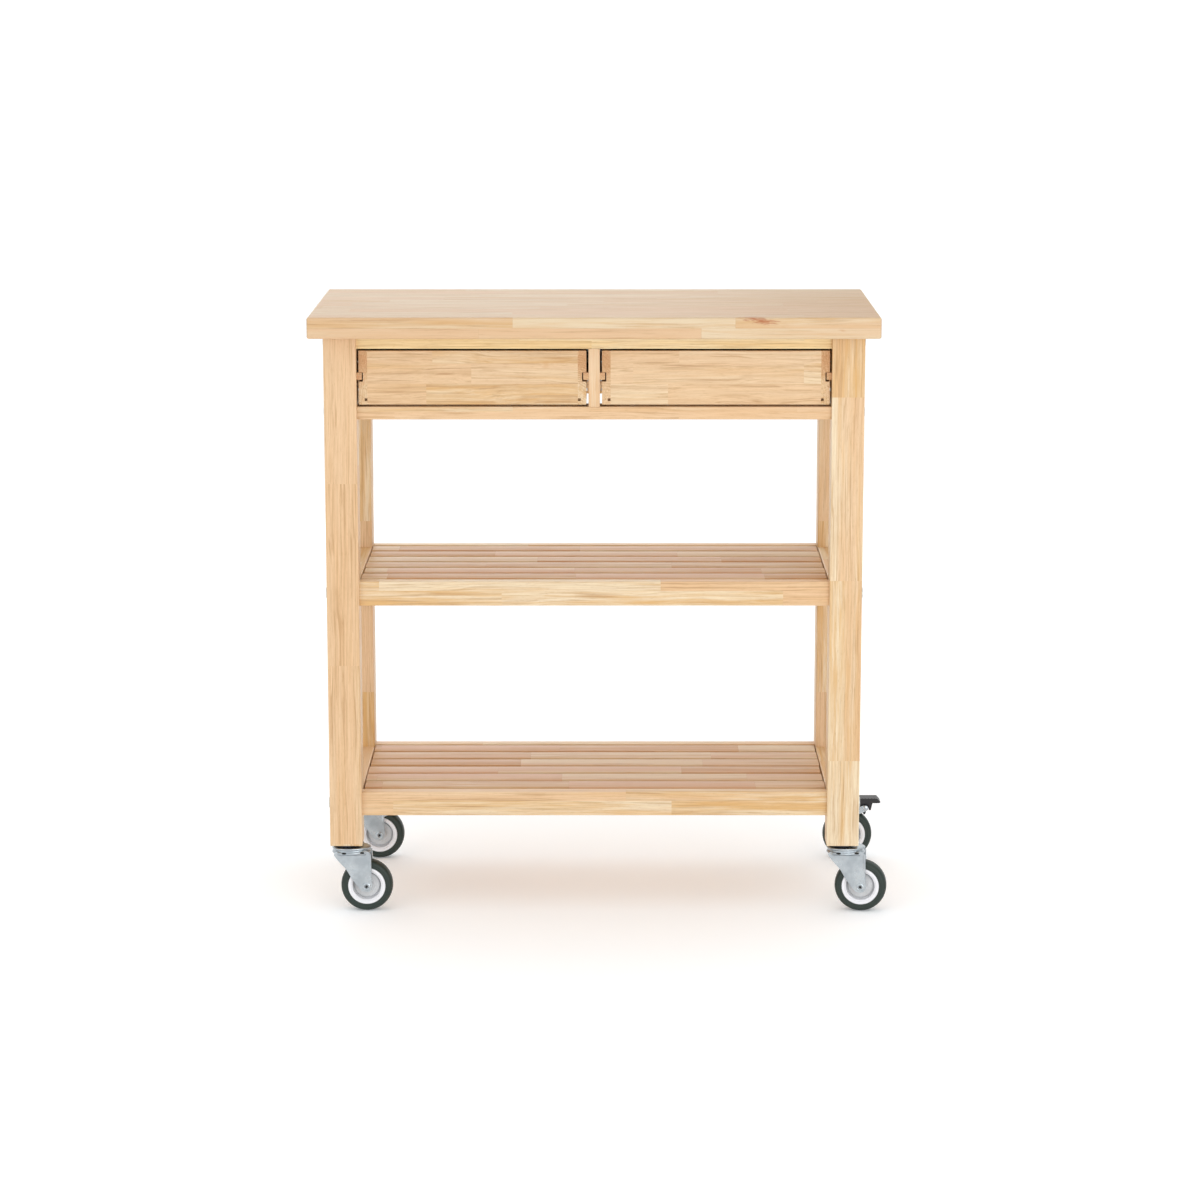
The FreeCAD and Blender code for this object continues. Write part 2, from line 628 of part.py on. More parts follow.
def drawer_side(name, middle_x, outward):
    """A drawer side: runner groove outside, groove for the bottom inside, stub tenon in front."""
    size = ("side_thickness", SIDE_LENGTH, DRAWER_HEIGHT)
    side = board(name, size, (middle_x, SIDE_MID_Y, DRAWER_Z), "slim_round", (0, 1, 0))
    runner_x = f"{outward} * (side_thickness - groove_depth) / 2"
    block(side, "Subtractive", ("groove_depth", SIDE_LENGTH, "groove_height"), (runner_x, "0", "groove_rise"))
    bottom_x = f"{-outward} * (side_thickness - bottom_groove) / 2"
    bottom = ("bottom_groove", SIDE_LENGTH, "bottom_thickness")
    block(side, "Subtractive", bottom, (bottom_x, "0", "bottom_rise"))
    stub_y = f"({SIDE_LENGTH} + stub_length) / 2"
    block(side, "Additive", ("stub_thickness", "stub_length", STUB_HEIGHT), ("0", stub_y, "tenon_shoulder"))
    return side


def drawer(sx):
    """One drawer: front, back, two sides, bottom, knob and screws."""
    prefix = f"drawer_{side_name(sx)}"
    middle = f"{sx} * {DRAWER_X}"
    outer_x = f"{sx} * ({DRAWER_OUTER} - side_thickness / 2)"
    inner_x = f"{sx} * ({DRAWER_INNER} + side_thickness / 2)"

    places = [(long_screw, (middle, SIDE_FRONT, KNOB_Z), (0, 1, 0))]
    for rise in SCREW_RISES:
        height = f"{DRAWER_Z} + {rise}"
        places.append((long_screw, (f"{sx} * {DRAWER_OUTER}", BACK_MID_Y, height), (-sx, 0, 0)))
        places.append((long_screw, (f"{sx} * {DRAWER_INNER}", BACK_MID_Y, height), (sx, 0, 0)))
    screws = fasteners(f"{prefix}_screw_set", places)

    front_place = (middle, FRONT_MID_Y, DRAWER_Z)
    front = board(
        f"{prefix}_front_board", (DRAWER_WIDTH, "front_thickness", DRAWER_HEIGHT), front_place, "slim_round"
    )
    groove_y = "(bottom_groove - front_thickness) / 2"
    groove = (PANEL_WIDTH, "bottom_groove", "bottom_thickness")
    block(front, "Subtractive", groove, ("0", groove_y, "bottom_rise"))
    for end in MIRROR:
        stub = ("stub_thickness", "stub_length", STUB_HEIGHT)
        stub_x = f"{end} * ({DRAWER_WIDTH} - side_thickness) / 2"
        block(front, "Subtractive", stub, (stub_x, "(stub_length - front_thickness) / 2", "tenon_shoulder"))

    back_size = (INSIDE_WIDTH, "side_thickness", DRAWER_HEIGHT)
    back = board(f"{prefix}_back_board", back_size, (middle, BACK_MID_Y, DRAWER_Z), "slim_round", (1, 0, 0))
    groove_y = "(side_thickness - bottom_groove) / 2"
    groove = (INSIDE_WIDTH, "bottom_groove", "bottom_thickness")
    block(back, "Subtractive", groove, ("0", groove_y, "bottom_rise"))

    panel_length = f"({SIDE_LENGTH} - side_thickness + 2 * bottom_groove)"
    panel_y = f"({SIDE_MID_Y} + side_thickness / 2)"
    panel_size = (PANEL_WIDTH, panel_length, "bottom_thickness")
    bottom = board(f"{prefix}_bottom_panel", panel_size, (middle, panel_y, f"{DRAWER_Z} + bottom_rise"))

    knob = turned(
        f"{prefix}_turned_knob",
        "YZ_Plane",
        "H_Axis",
        (
            ("0", "0"),
            ("0", "knob_foot"),
            ("knob_length / 10", "knob_foot"),
            ("knob_length / 3", "knob_neck"),
            ("knob_length / 2", "knob_neck"),
            ("knob_length * 0.66", "knob_radius"),
            ("knob_length * 0.85", "knob_radius"),
            ("knob_length", "knob_radius * 0.66"),
            ("knob_length", "0"),
        ),
    )
    put(knob, (middle, RAIL_FACE, KNOB_Z))

    node(f"{prefix}_front", front, screws)
    node(f"{prefix}_back", back, screws)
    node(f"{prefix}_side_outer", drawer_side(f"{prefix}_side_by_leg", outer_x, sx), screws)
    node(f"{prefix}_side_inner", drawer_side(f"{prefix}_side_by_divider", inner_x, -sx), screws)
    node(f"{prefix}_bottom", bottom)
    node(f"{prefix}_knob", knob, screws)
    node(f"{prefix}_screws", screws)


for sx in MIRROR:
    drawer(sx)

# ---------------------------------------------------------------- casters


def at_caster(body, sx, sy, turn, height="0"):
    """Stand a piece that was drawn about the swivel axis under its leg."""
    body.Placement = Placement(Vector(), Rotation(Vector(0, 0, 1), turn))
    put(body, (f"{sx} * {LEG_X}", f"{sy} * {LEG_Y}", height))


def caster_fork(name, braked):
    """Pressed steel fork: crown, top plate and two cheeks that slant back to the axle."""
    fork = turned(
        name,
        "XZ_Plane",
        "V_Axis",
        (
            ("0", CROWN_Z),
            ("crown_radius - fork_steel", CROWN_Z),
            ("crown_radius", f"{CROWN_Z} + fork_steel"),
            ("crown_radius", f"{CROWN_Z} + crown_height * 2 / 3"),
            ("crown_radius - crown_height / 3", f"{CROWN_Z} + crown_height"),
            ("0", f"{CROWN_Z} + crown_height"),
        ),
    )
    pad(
        fork,
        (
            ("fork_steel - crown_radius", f"{CROWN_Z} + fork_steel"),
            ("fork_steel - crown_radius", f"{CROWN_Z} - 1"),
            ("-1.5", f"(wheel_radius + {CROWN_Z} + 6) / 2"),
            ("trail - fork_boss - 0.8", "wheel_radius - 4"),
            ("trail", "wheel_radius"),
            ("trail + fork_boss - 0.5", "wheel_radius"),
            ("fork_back", f"(wheel_radius + {CROWN_Z}) / 2"),
            ("fork_back", f"{CROWN_Z} + fork_steel"),
        ),
        FORK_WIDTH,
    )
    half = f"{FORK_WIDTH} / 2"
    rod(fork, "Additive", "fork_boss", FORK_WIDTH, ("trail", half, "wheel_radius"), (0, -1, 0))
    if braked:
        low = "(pedal_pivot_height - arm_height * 1.6)"
        pad(
            fork,
            (
                ("fork_back - 6", f"{low} - arm_height * 0.3"),
                ("pedal_pivot + arm_height * 0.3", "pedal_pivot_height - arm_height * 0.45"),
                ("pedal_pivot - arm_height * 0.25", "pedal_pivot_height + arm_height * 0.48"),
                ("fork_back - 6", f"{low} + arm_height"),
            ),
            FORK_WIDTH,
        )
        pin_at = ("pedal_pivot", half, "pedal_pivot_height")
        rod(fork, "Additive", "arm_height / 2", FORK_WIDTH, pin_at, (0, -1, 0))
    # The room between the cheeks, and between the arms behind them.
    inside = ("6 * trail", "fork_gap", CROWN_Z)
    block(fork, "Subtractive", inside, ("0", "0", "0"))
    if braked:
        behind = ("2 * trail", "fork_gap", "2 * caster_height")
        block(fork, "Subtractive", behind, ("fork_back + trail", "0", "0"))
        pin_at = ("pedal_pivot", half, "pedal_pivot_height")
        rod(fork, "Subtractive", "pedal_pin_radius", FORK_WIDTH, pin_at, (0, -1, 0))
    rod(fork, "Subtractive", "axle_radius", FORK_WIDTH, ("trail", half, "wheel_radius"), (0, -1, 0))
    rod(fork, "Subtractive", "king_pin_radius + running_clearance", "caster_height", ("0", "0", "0"), UP)
    return fork


def rivet(name, radius, head_radius, bore):
    """A rivet through the fork along Y, with a low head on each side and a hole or none."""
    half = f"({FORK_WIDTH} / 2)"
    foot = bore or "0"
    return turned(
        name,
        "YZ_Plane",
        "H_Axis",
        (
            (f"-{half} - rivet_head", foot),
            (f"-{half} - rivet_head", f"{head_radius} - rivet_head"),
            (f"-{half}", head_radius),
            (f"-{half}", radius),
            (half, radius),
            (half, head_radius),
            (f"{half} + rivet_head", f"{head_radius} - rivet_head"),
            (f"{half} + rivet_head", foot),
        ),
    )


def wheel_core(name):
    """Moulded wheel: hub on the rivet, dished web and rim."""
    hub = "(fork_gap / 2 - hub_play)"
    rim = "(wheel_width / 2)"
    web = f"({rim} - dish_depth)"
    half = (
        (f"{rim}", "rim_radius"),
        (f"{rim}", "dish_radius + 1.5"),
        (web, "dish_radius"),
        (web, "hub_radius + 1"),
        (hub, "hub_radius"),
        (hub, "axle_radius + running_clearance"),
    )
    other = [(f"-{across}", radius) for across, radius in reversed(half)]
    return turned(name, "YZ_Plane", "H_Axis", list(half) + other)


def tyre(name):
    rim = "(wheel_width / 2)"
    ring = turned(
        name,
        "YZ_Plane",
        "H_Axis",
        ((f"-{rim}", "rim_radius"), (f"-{rim}", "wheel_radius"), (rim, "wheel_radius"), (rim, "rim_radius")),
    )
    doc.recompute()
    square_ring = ring.Tip
    tread = sheet.get("wheel_radius")
    shoulders = []
    for index, edge in enumerate(square_ring.Shape.Edges, start=1):
        if hasattr(edge.Curve, "Radius") and abs(edge.Curve.Radius - tread) < 0.01:
            shoulders.append(f"Edge{index}")
    fillet = ring.newObject("PartDesign::Fillet", f"{name}_round")
    fillet.Base = (square_ring, shoulders)
    bind(fillet, "Radius", "tyre_round")
    return ring


def brake_pedal(name):
    """Brake pedal: a tread plate over its rivet, two claws, a hub and a nose that meets the tyre."""
    level = "pedal_pivot_height"
    pedal = doc.addObject("PartDesign::Body", name)
    pad(
        pedal,
        (
            ("pedal_pivot - tread_ahead", f"{level} + tread_low"),
            ("pedal_pivot - tread_ahead", f"{level} + tread_high"),
            ("pedal_pivot + tread_behind - tread_slant", f"{level} + tread_high"),
            ("pedal_pivot + tread_behind", f"{level} + tread_low + 1.5"),
            ("pedal_pivot + tread_behind - 2", f"{level} + tread_low"),
            ("pedal_pivot + claw_gap + 2 * claw_thickness", f"{level} + tread_low"),
            ("pedal_pivot + claw_gap + 1.7 * claw_thickness", f"{level} + 4"),
            ("pedal_pivot + claw_gap + claw_thickness", f"{level} + 1 - claw_reach"),
            ("pedal_pivot + claw_gap - 0.3", f"{level} + 1 - claw_reach"),
            ("pedal_pivot + claw_gap", f"{level} + 1"),
            ("pedal_pivot + claw_gap / 2", f"{level} + tread_low - 2"),
            ("pedal_pivot - claw_gap / 2", f"{level} + tread_low - 2"),
            ("pedal_pivot - claw_gap", f"{level} + 1"),
            ("pedal_pivot - claw_gap + 0.8", f"{level} - claw_reach"),
            ("pedal_pivot - claw_gap + 0.8 - claw_thickness", f"{level} - claw_reach"),
            ("pedal_pivot - claw_gap - 1.5 * claw_thickness", f"{level} + 4"),
            ("pedal_pivot - claw_gap - 2 * claw_thickness", f"{level} + tread_low"),
        ),
        "pedal_width",
    )
    half = "pedal_hub_width / 2"
    rod(pedal, "Additive", "pedal_hub", "pedal_hub_width", ("pedal_pivot", half, level), (0, -1, 0))
    pad(
        pedal,
        (
            ("pedal_pivot - pedal_hub", level),
            ("pedal_pivot - nose_width - 1", f"{level} - nose_reach + 1.3"),
            ("pedal_pivot - nose_width + 0.2", f"{level} - nose_reach + 0.1"),
            ("pedal_pivot + 0.2", f"{level} - nose_reach + 0.6"),
            ("pedal_pivot + pedal_hub - 1", level),
        ),
        "pedal_hub_width",
    )
    bore = "pedal_pin_radius + running_clearance"
    rod(pedal, "Subtractive", bore, "pedal_width", ("pedal_pivot", "pedal_width / 2", level), (0, -1, 0))
    return pedal


def caster(sx, sy, turn, braked):
    """One caster under its leg, turned about its swivel axis."""
    prefix = f"caster_{side_name(sy, 'back', 'front')}_{side_name(sx)}"
    fork = caster_fork(f"{prefix}_fork_steel", braked)
    at_caster(fork, sx, sy, turn)
    node(f"{prefix}_fork", fork)

    ahead = Rotation(Vector(0, 0, 1), turn).multVec(Vector(1, 0, 0))
    hub_at = (
        f"{sx} * {LEG_X} + trail * {ahead.x}",
        f"{sy} * {LEG_Y} + trail * {ahead.y}",
        "wheel_radius",
    )

    def on_axle(body):
        body.Placement = Placement(Vector(), Rotation(Vector(0, 0, 1), turn))
        put(body, hub_at)
        return body

    axle = on_axle(rivet(f"{prefix}_axle_rivet", "axle_radius", "(axle_radius + 2)", "axle_bore"))
    if braked:
        pin = rivet(f"{prefix}_pedal_rivet", "pedal_pin_radius", "(arm_height / 2)", None)
        at_caster(pin, sx, sy, turn, "pedal_pivot_height")
        bind(pin, "Placement.Base.x", f"{sx} * {LEG_X} + pedal_pivot")
        node(f"{prefix}_rivets", group(f"{prefix}_rivet_pair", [axle, pin]))
        pedal = brake_pedal(f"{prefix}_pedal_lever")
        at_caster(pedal, sx, sy, turn)
        node(f"{prefix}_brake_pedal", pedal)
    else:
        node(f"{prefix}_rivet", axle)
    node(f"{prefix}_wheel", on_axle(wheel_core(f"{prefix}_wheel_core")))
    node(f"{prefix}_tyre", on_axle(tyre(f"{prefix}_tyre_ring")))


caster(-1, -1, 0, False)
caster(1, -1, sheet.get("back_right_turn"), False)
caster(-1, 1, 0, True)
caster(1, 1, 0, True)

# ---------------------------------------------------------------- check and export

doc.recompute()
for item in doc.Objects:
    if "Invalid" in item.State or "Error" in item.State:
        raise RuntimeError(f"{item.Label} failed: {item.State}")
for piece in nodes:
    if piece.Shape.isNull() or not piece.Shape.isValid() or not piece.Shape.Solids:
        raise RuntimeError(f"{piece.Label} has no sound shape")

os.makedirs("parts", exist_ok=True)
for piece in nodes:
    piece.Shape.exportStep(f"parts/{piece.Label}.step")
print(len(nodes), "nodes")
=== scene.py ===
import math

import bmesh
import bpy
from mathutils import Matrix, Vector


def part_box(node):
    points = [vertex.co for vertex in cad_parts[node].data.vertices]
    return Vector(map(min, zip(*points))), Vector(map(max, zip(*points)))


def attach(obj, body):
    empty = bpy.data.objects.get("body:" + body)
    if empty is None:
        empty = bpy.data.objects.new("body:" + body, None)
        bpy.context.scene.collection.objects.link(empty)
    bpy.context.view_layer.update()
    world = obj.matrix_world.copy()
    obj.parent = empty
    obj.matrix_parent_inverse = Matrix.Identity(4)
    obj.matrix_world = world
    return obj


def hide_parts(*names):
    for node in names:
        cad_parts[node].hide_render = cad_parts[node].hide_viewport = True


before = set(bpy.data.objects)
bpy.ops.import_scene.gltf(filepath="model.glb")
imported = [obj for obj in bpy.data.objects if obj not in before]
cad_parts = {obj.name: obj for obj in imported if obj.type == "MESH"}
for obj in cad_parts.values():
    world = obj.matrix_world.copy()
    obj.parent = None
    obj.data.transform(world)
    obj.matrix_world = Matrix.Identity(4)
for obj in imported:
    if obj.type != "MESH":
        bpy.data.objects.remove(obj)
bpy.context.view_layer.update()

# ---------------------------------------------------------------- camera
# A long lens at eye height, a little right of the middle and five metres away, tipped down
# onto the trolley. It looks at the back: the drawers open on the far side.

TIPPED_DOWN = 10.74
scene = bpy.context.scene
lens = bpy.data.cameras.new("camera")
lens.sensor_width = 36
lens.lens = 105.6
lens.shift_x = -0.005
camera = bpy.data.objects.new("camera", lens)
camera.location = (0.0166, -5.078, 1.391)
camera.rotation_euler = (math.radians(90 - TIPPED_DOWN), 0, 0)
scene.collection.objects.link(camera)
scene.camera = camera
scene.view_settings.view_transform = "Standard"

# ---------------------------------------------------------------- studio
# White paper floor in a bright tent whose two side walls are dimmer than the rest, a broad low
# key from the right of the camera, a weaker fill from the left and two soft panels.

TENT_LIGHT = 1.05
SIDE_WALLS = 0.38
WALLS_FROM = 0.62
WALLS_TO = 0.95
PANELS = (
    # name, place, aimed at, width, watts
    ("key", (1.7, -3.8, 0.95), (0, 0, 0.5), 1.8, 32),
    ("fill", (-2.6, -3.2, 0.85), (0, 0, 0.5), 1.6, 9),
    ("overhead", (0.2, 0.5, 3.4), (0, 0, 0.8), 2.6, 3),
    ("behind", (-0.6, 3.6, 1.4), (0, 0, 0.5), 2.0, 14),
)

for name, place, aim, width, watts in PANELS:
    panel = bpy.data.lights.new(name, "AREA")
    panel.size = width
    panel.energy = watts
    lamp = bpy.data.objects.new(name, panel)
    lamp.location = place
    lamp.rotation_euler = (Vector(place) - Vector(aim)).to_track_quat("Z", "Y").to_euler()
    scene.collection.objects.link(lamp)


def add(tree, kind, inputs=(), **settings):
    """Adds a node: its settings, then its inputs, each a value or the socket that feeds it."""
    made = tree.nodes.new(kind)
    for name, value in settings.items():
        setattr(made, name, value)
    for key, value in dict(inputs).items():
        if isinstance(value, bpy.types.NodeSocket):
            tree.links.new(value, made.inputs[key])
        else:
            made.inputs[key].default_value = value
    return made


def calc(tree, operation, *values):
    """One step of arithmetic."""
    return add(tree, "ShaderNodeMath", dict(enumerate(values)), operation=operation).outputs[0]


def ramp(tree, value, low, high, to_low=0.0, to_high=1.0):
    """A value eased from one range to another and held at its ends."""
    inputs = {0: value, 1: low, 2: high, 3: to_low, 4: to_high}
    return add(tree, "ShaderNodeMapRange", inputs, interpolation_type="SMOOTHSTEP").outputs[0]


def blend(tree, factor, first, second):
    """A colour between two colours."""
    return add(tree, "ShaderNodeMix", {0: factor, 6: first, 7: second}, data_type="RGBA").outputs[2]


def vector_calc(tree, operation, first, second):
    """One step of arithmetic on two vectors."""
    return add(tree, "ShaderNodeVectorMath", {0: first, 1: second}, operation=operation).outputs[0]


def stretch(tree, vector, x, y, z):
    """Coordinates scaled by a different amount along each axis."""
    return vector_calc(tree, "MULTIPLY", vector, (x, y, z))


def noise(tree, vector, detail=2.0, roughness=0.55):
    """Soft noise from 0 to 1."""
    inputs = {"Vector": vector, "Scale": 1.0, "Detail": detail, "Roughness": roughness}
    return add(tree, "ShaderNodeTexNoise", inputs).outputs[0]


def shade(red, green, blue):
    """A colour as it is read off a sample card, 0 to 255."""
    return tuple((channel / 255) ** 2.2 for channel in (red, green, blue)) + (1.0,)


def new_material(name):
    """An empty principled material, its tree and its shader."""
    material = bpy.data.materials.new(name)
    material.use_nodes = True
    return material, material.node_tree, material.node_tree.nodes["Principled BSDF"]


world = bpy.data.worlds.new("studio")
world.use_nodes = True
tree = world.node_tree
outward = add(tree, "ShaderNodeTexCoord").outputs["Generated"]
sideways = add(tree, "ShaderNodeSeparateXYZ", {0: outward}).outputs["X"]
tent = ramp(tree, calc(tree, "ABSOLUTE", sideways), WALLS_FROM, WALLS_TO, TENT_LIGHT, SIDE_WALLS)
# The backdrop itself is evenly white.
backdrop = calc(tree, "MULTIPLY", add(tree, "ShaderNodeLightPath").outputs["Is Camera Ray"], TENT_LIGHT)
tent = calc(tree, "MAXIMUM", tent, backdrop)
tree.nodes["Background"].inputs["Color"].default_value = (1.0, 1.0, 1.0, 1.0)
tree.links.new(tent, tree.nodes["Background"].inputs["Strength"])
scene.world = world

paper, tree, shader = new_material("floor_paper")
spot = add(tree, "ShaderNodeTexCoord").outputs["Object"]
cloud = noise(tree, stretch(tree, spot, 1.5, 1.5, 1.5), 3.0)
paper_white = blend(tree, cloud, (0.955, 0.957, 0.96, 1), (0.965, 0.967, 0.97, 1))
tree.links.new(paper_white, shader.inputs["Base Color"])
shader.inputs["Roughness"].default_value = 0.85
shader.inputs["Specular IOR Level"].default_value = 0.2
# The paper lies on a light table that lifts the shadows.
shader.inputs["Emission Color"].default_value = (0.90, 0.96, 1.0, 1)
shader.inputs["Emission Strength"].default_value = 0.16

FLOOR_REACH = 90.0
sheet = bmesh.new()
bmesh.ops.create_grid(sheet, x_segments=2, y_segments=2, size=FLOOR_REACH)
floor_mesh = bpy.data.meshes.new("floor")
sheet.to_mesh(floor_mesh)
floor_mesh.materials.append(paper)
floor = bpy.data.objects.new("floor", floor_mesh)
scene.collection.objects.link(floor)

# ---------------------------------------------------------------- worktop
# A thick board glued up from two layers of rubberwood staves, finger-jointed end to end,
# planed flat, with its edges eased. It is screwed to the top rails from below and oiled.


def grown_group(name, inputs, outputs):
    """A shader group with named sockets; returns it and its input node."""
    group = bpy.data.node_groups.new(name, "ShaderNodeTree")
    for label, kind, value in inputs:
        socket = group.interface.new_socket(label, in_out="INPUT", socket_type=f"NodeSocket{kind}")
        if value is not None:
            socket.default_value = value
    for label, kind in outputs:
        group.interface.new_socket(label, in_out="OUTPUT", socket_type=f"NodeSocket{kind}")
    return group, group.nodes.new("NodeGroupInput")


def stave_wood():
    """Glued staves of plain hardwood, with the grain along X: tone by stave, growth rings,
    colour streaks, fibres, pores, glue lines and end grain."""
    group, given = grown_group(
        "stave_wood",
        (
            ("Vector", "Vector", None),
            ("Normal", "Vector", None),
            ("Stave Width", "Float", 0.04),
            ("Stave Height", "Float", 0.04),
            ("Stave Length", "Float", 0.3),
            ("Glue Line", "Float", 0.0004),
            ("Pale", "Color", (0.7, 0.5, 0.3, 1)),
            ("Deep", "Color", (0.5, 0.3, 0.2, 1)),
            ("Rosy", "Color", (0.6, 0.4, 0.3, 1)),
            ("Tone Spread", "Float", 0.6),
            ("Figure", "Float", 0.4),
            ("Ring Gap", "Float", 0.0036),
            ("Wave", "Float", 0.012),
            ("Seed", "Float", 0.0),
        ),
        (("Color", "Color"), ("Roughness", "Float"), ("Height", "Float")),
    )
    take = given.outputs
    axes = add(group, "ShaderNodeSeparateXYZ", {0: take["Vector"]}).outputs
    across = calc(group, "DIVIDE", axes["Y"], take["Stave Width"])
    deep = calc(group, "DIVIDE", axes["Z"], take["Stave Height"])
    row = calc(group, "FLOOR", across)
    layer = calc(group, "FLOOR", deep)

    # Each row of staves starts at its own place along the grain.
    row_spot = add(group, "ShaderNodeCombineXYZ", {0: row, 1: layer, 2: take["Seed"]}).outputs[0]
    row_chance = add(group, "ShaderNodeTexWhiteNoise", {"Vector": row_spot}).outputs["Value"]
    along = calc(group, "DIVIDE", axes["X"], take["Stave Length"])
    along = calc(group, "MULTIPLY_ADD", row_chance, 9.0, along)
    turn = calc(group, "MULTIPLY_ADD", take["Seed"], 3.7, calc(group, "FLOOR", along))
    stave_spot = add(group, "ShaderNodeCombineXYZ", {0: turn, 1: row, 2: layer}).outputs[0]
    chance = add(group, "ShaderNodeTexWhiteNoise", {"Vector": stave_spot}).outputs["Color"]
    pick = add(group, "ShaderNodeSeparateColor", {0: chance}).outputs

    # The log each stave was sawn from: no two share their streaks.
    log = vector_calc(group, "ADD", take["Vector"], stretch(group, chance, 5.0, 3.0, 4.0))
    sway = noise(group, stretch(group, log, 4.5, 13.0, 13.0), 2.0)
    sway = calc(group, "MULTIPLY", calc(group, "SUBTRACT", sway, 0.5), take["Wave"])
    sideways = add(group, "ShaderNodeCombineXYZ", {1: sway, 2: sway}).outputs[0]
    log = vector_calc(group, "ADD", log, sideways)

    # Growth rings about a pith that lies outside the stave, wandering a little along the grain.
    wander = noise(group, stretch(group, log, 1.6, 9.0, 9.0), 2.0)
    wobble = noise(group, stretch(group, log, 5.0, 46.0, 46.0), 2.0)
    uneven = ramp(group, noise(group, stretch(group, log, 3.0, 40.0, 40.0), 2.0), 0.36, 0.66, 0.15, 1.0)
    ring_y = calc(group, "SUBTRACT", calc(group, "FRACT", across), 0.5)
    ring_y = calc(group, "MULTIPLY", ring_y, take["Stave Width"])
    ring_y = calc(group, "MULTIPLY_ADD", calc(group, "SUBTRACT", pick[0], 0.5), 0.07, ring_y)
    ring_z = calc(group, "SUBTRACT", calc(group, "FRACT", deep), 0.5)
    ring_z = calc(group, "MULTIPLY", ring_z, take["Stave Height"])
    ring_z = calc(group, "ADD", ring_z, calc(group, "MULTIPLY_ADD", pick[2], 0.05, 0.012))
    pith = calc(group, "MULTIPLY_ADD", ring_y, ring_y, calc(group, "MULTIPLY", ring_z, ring_z))
    pith = calc(group, "SQRT", pith)
    pith = calc(group, "MULTIPLY_ADD", wander, 0.030, pith)
    pith = calc(group, "MULTIPLY_ADD", wobble, 0.0045, pith)
    ring_gap = calc(group, "MULTIPLY", take["Ring Gap"], calc(group, "MULTIPLY_ADD", pick[1], 0.9, 0.7))
    phase = calc(group, "MULTIPLY", calc(group, "DIVIDE", pith, ring_gap), 6.2832)
    rings = calc(group, "MULTIPLY_ADD", calc(group, "SINE", phase), 0.5, 0.5)
    rings = calc(group, "MULTIPLY", calc(group, "MULTIPLY", rings, rings), uneven)

    streak = noise(group, stretch(group, log, 3.4, 92.0, 92.0), 4.0, 0.74)
    warmth = noise(group, stretch(group, log, 1.3, 34.0, 34.0), 2.0, 0.5)
    fibre = noise(group, stretch(group, log, 16.0, 620.0, 620.0), 2.0, 0.6)
    vessel = ramp(group, noise(group, stretch(group, log, 7.0, 300.0, 300.0), 2.0, 0.6), 0.52, 0.72)
    pore = ramp(group, noise(group, stretch(group, log, 120.0, 1900.0, 1900.0), 0.0), 0.64, 0.74)

    # Glue lines: distance to the nearest side of the stave and to its ends.
    edge = calc(group, "PINGPONG", calc(group, "FRACT", across), 0.5)
    edge = calc(group, "MULTIPLY", edge, take["Stave Width"])
    depth = calc(group, "PINGPONG", calc(group, "FRACT", deep), 0.5)
    depth = calc(group, "MULTIPLY", depth, take["Stave Height"])
    end = calc(group, "PINGPONG", calc(group, "FRACT", along), 0.5)
    end = calc(group, "MULTIPLY", end, take["Stave Length"])
    nearest = calc(group, "MINIMUM", calc(group, "MINIMUM", edge, depth), end)
    glue = ramp(group, nearest, 0.0, take["Glue Line"], 1.0, 0.0)

    tone = calc(group, "MULTIPLY_ADD", calc(group, "SUBTRACT", pick[1], 0.5), take["Tone Spread"], 0.40)
    tone = calc(group, "MULTIPLY_ADD", calc(group, "SUBTRACT", streak, 0.5), 2.5, tone)
    tone = ramp(group, tone, 0.0, 1.0)
    hue = calc(group, "MULTIPLY_ADD", calc(group, "SUBTRACT", warmth, 0.5), 2.6, pick[2])
    hue = ramp(group, hue, 0.15, 1.0, 0.0, 0.85)
    colour = blend(group, tone, take["Pale"], take["Deep"])
    colour = blend(group, hue, colour, take["Rosy"])

    facing = add(group, "ShaderNodeSeparateXYZ", {0: take["Normal"]}).outputs["X"]
    sawn_end = ramp(group, calc(group, "ABSOLUTE", facing), 0.6, 0.85)

    line = calc(group, "MULTIPLY", rings, take["Figure"])
    line = calc(group, "MULTIPLY_ADD", rings, calc(group, "MULTIPLY", sawn_end, 0.5), line)
    dark = calc(group, "MULTIPLY", line, 0.34)
    dark = calc(group, "MULTIPLY_ADD", calc(group, "SUBTRACT", fibre, 0.45), 0.62, dark)
    dark = calc(group, "MULTIPLY_ADD", vessel, 0.34, dark)
    dark = calc(group, "MULTIPLY_ADD", pore, 0.14, dark)
    dark = calc(group, "MULTIPLY_ADD", glue, 0.30, dark)
    dark = calc(group, "MULTIPLY_ADD", sawn_end, 0.34, dark)
    dark = ramp(group, dark, 0.0, 1.0, 0.0, 0.8)
    brown = blend(group, 0.62, take["Deep"], (0.24, 0.10, 0.035, 1))
    colour = blend(group, dark, colour, brown)

    gloss = calc(group, "MULTIPLY_ADD", fibre, 0.14, 0.40)
    gloss = calc(group, "MULTIPLY_ADD", sawn_end, 0.18, gloss)
    relief = calc(group, "MULTIPLY_ADD", fibre, 0.5, 0.5)
    relief = calc(group, "SUBTRACT", relief, calc(group, "MULTIPLY", pore, 0.35))
    relief = calc(group, "SUBTRACT", relief, calc(group, "MULTIPLY", glue, 0.6))
    relief = calc(group, "SUBTRACT", relief, calc(group, "MULTIPLY", rings, 0.15))
    add(group, "NodeGroupOutput", {"Color": colour, "Roughness": gloss, "Height": relief})
    return group


stave_group = stave_wood()
ALONG_X = (0.0, 0.0, 0.0)
ALONG_Y = (0.0, 0.0, -math.pi / 2)
ALONG_Z = (0.0, math.pi / 2, 0.0)


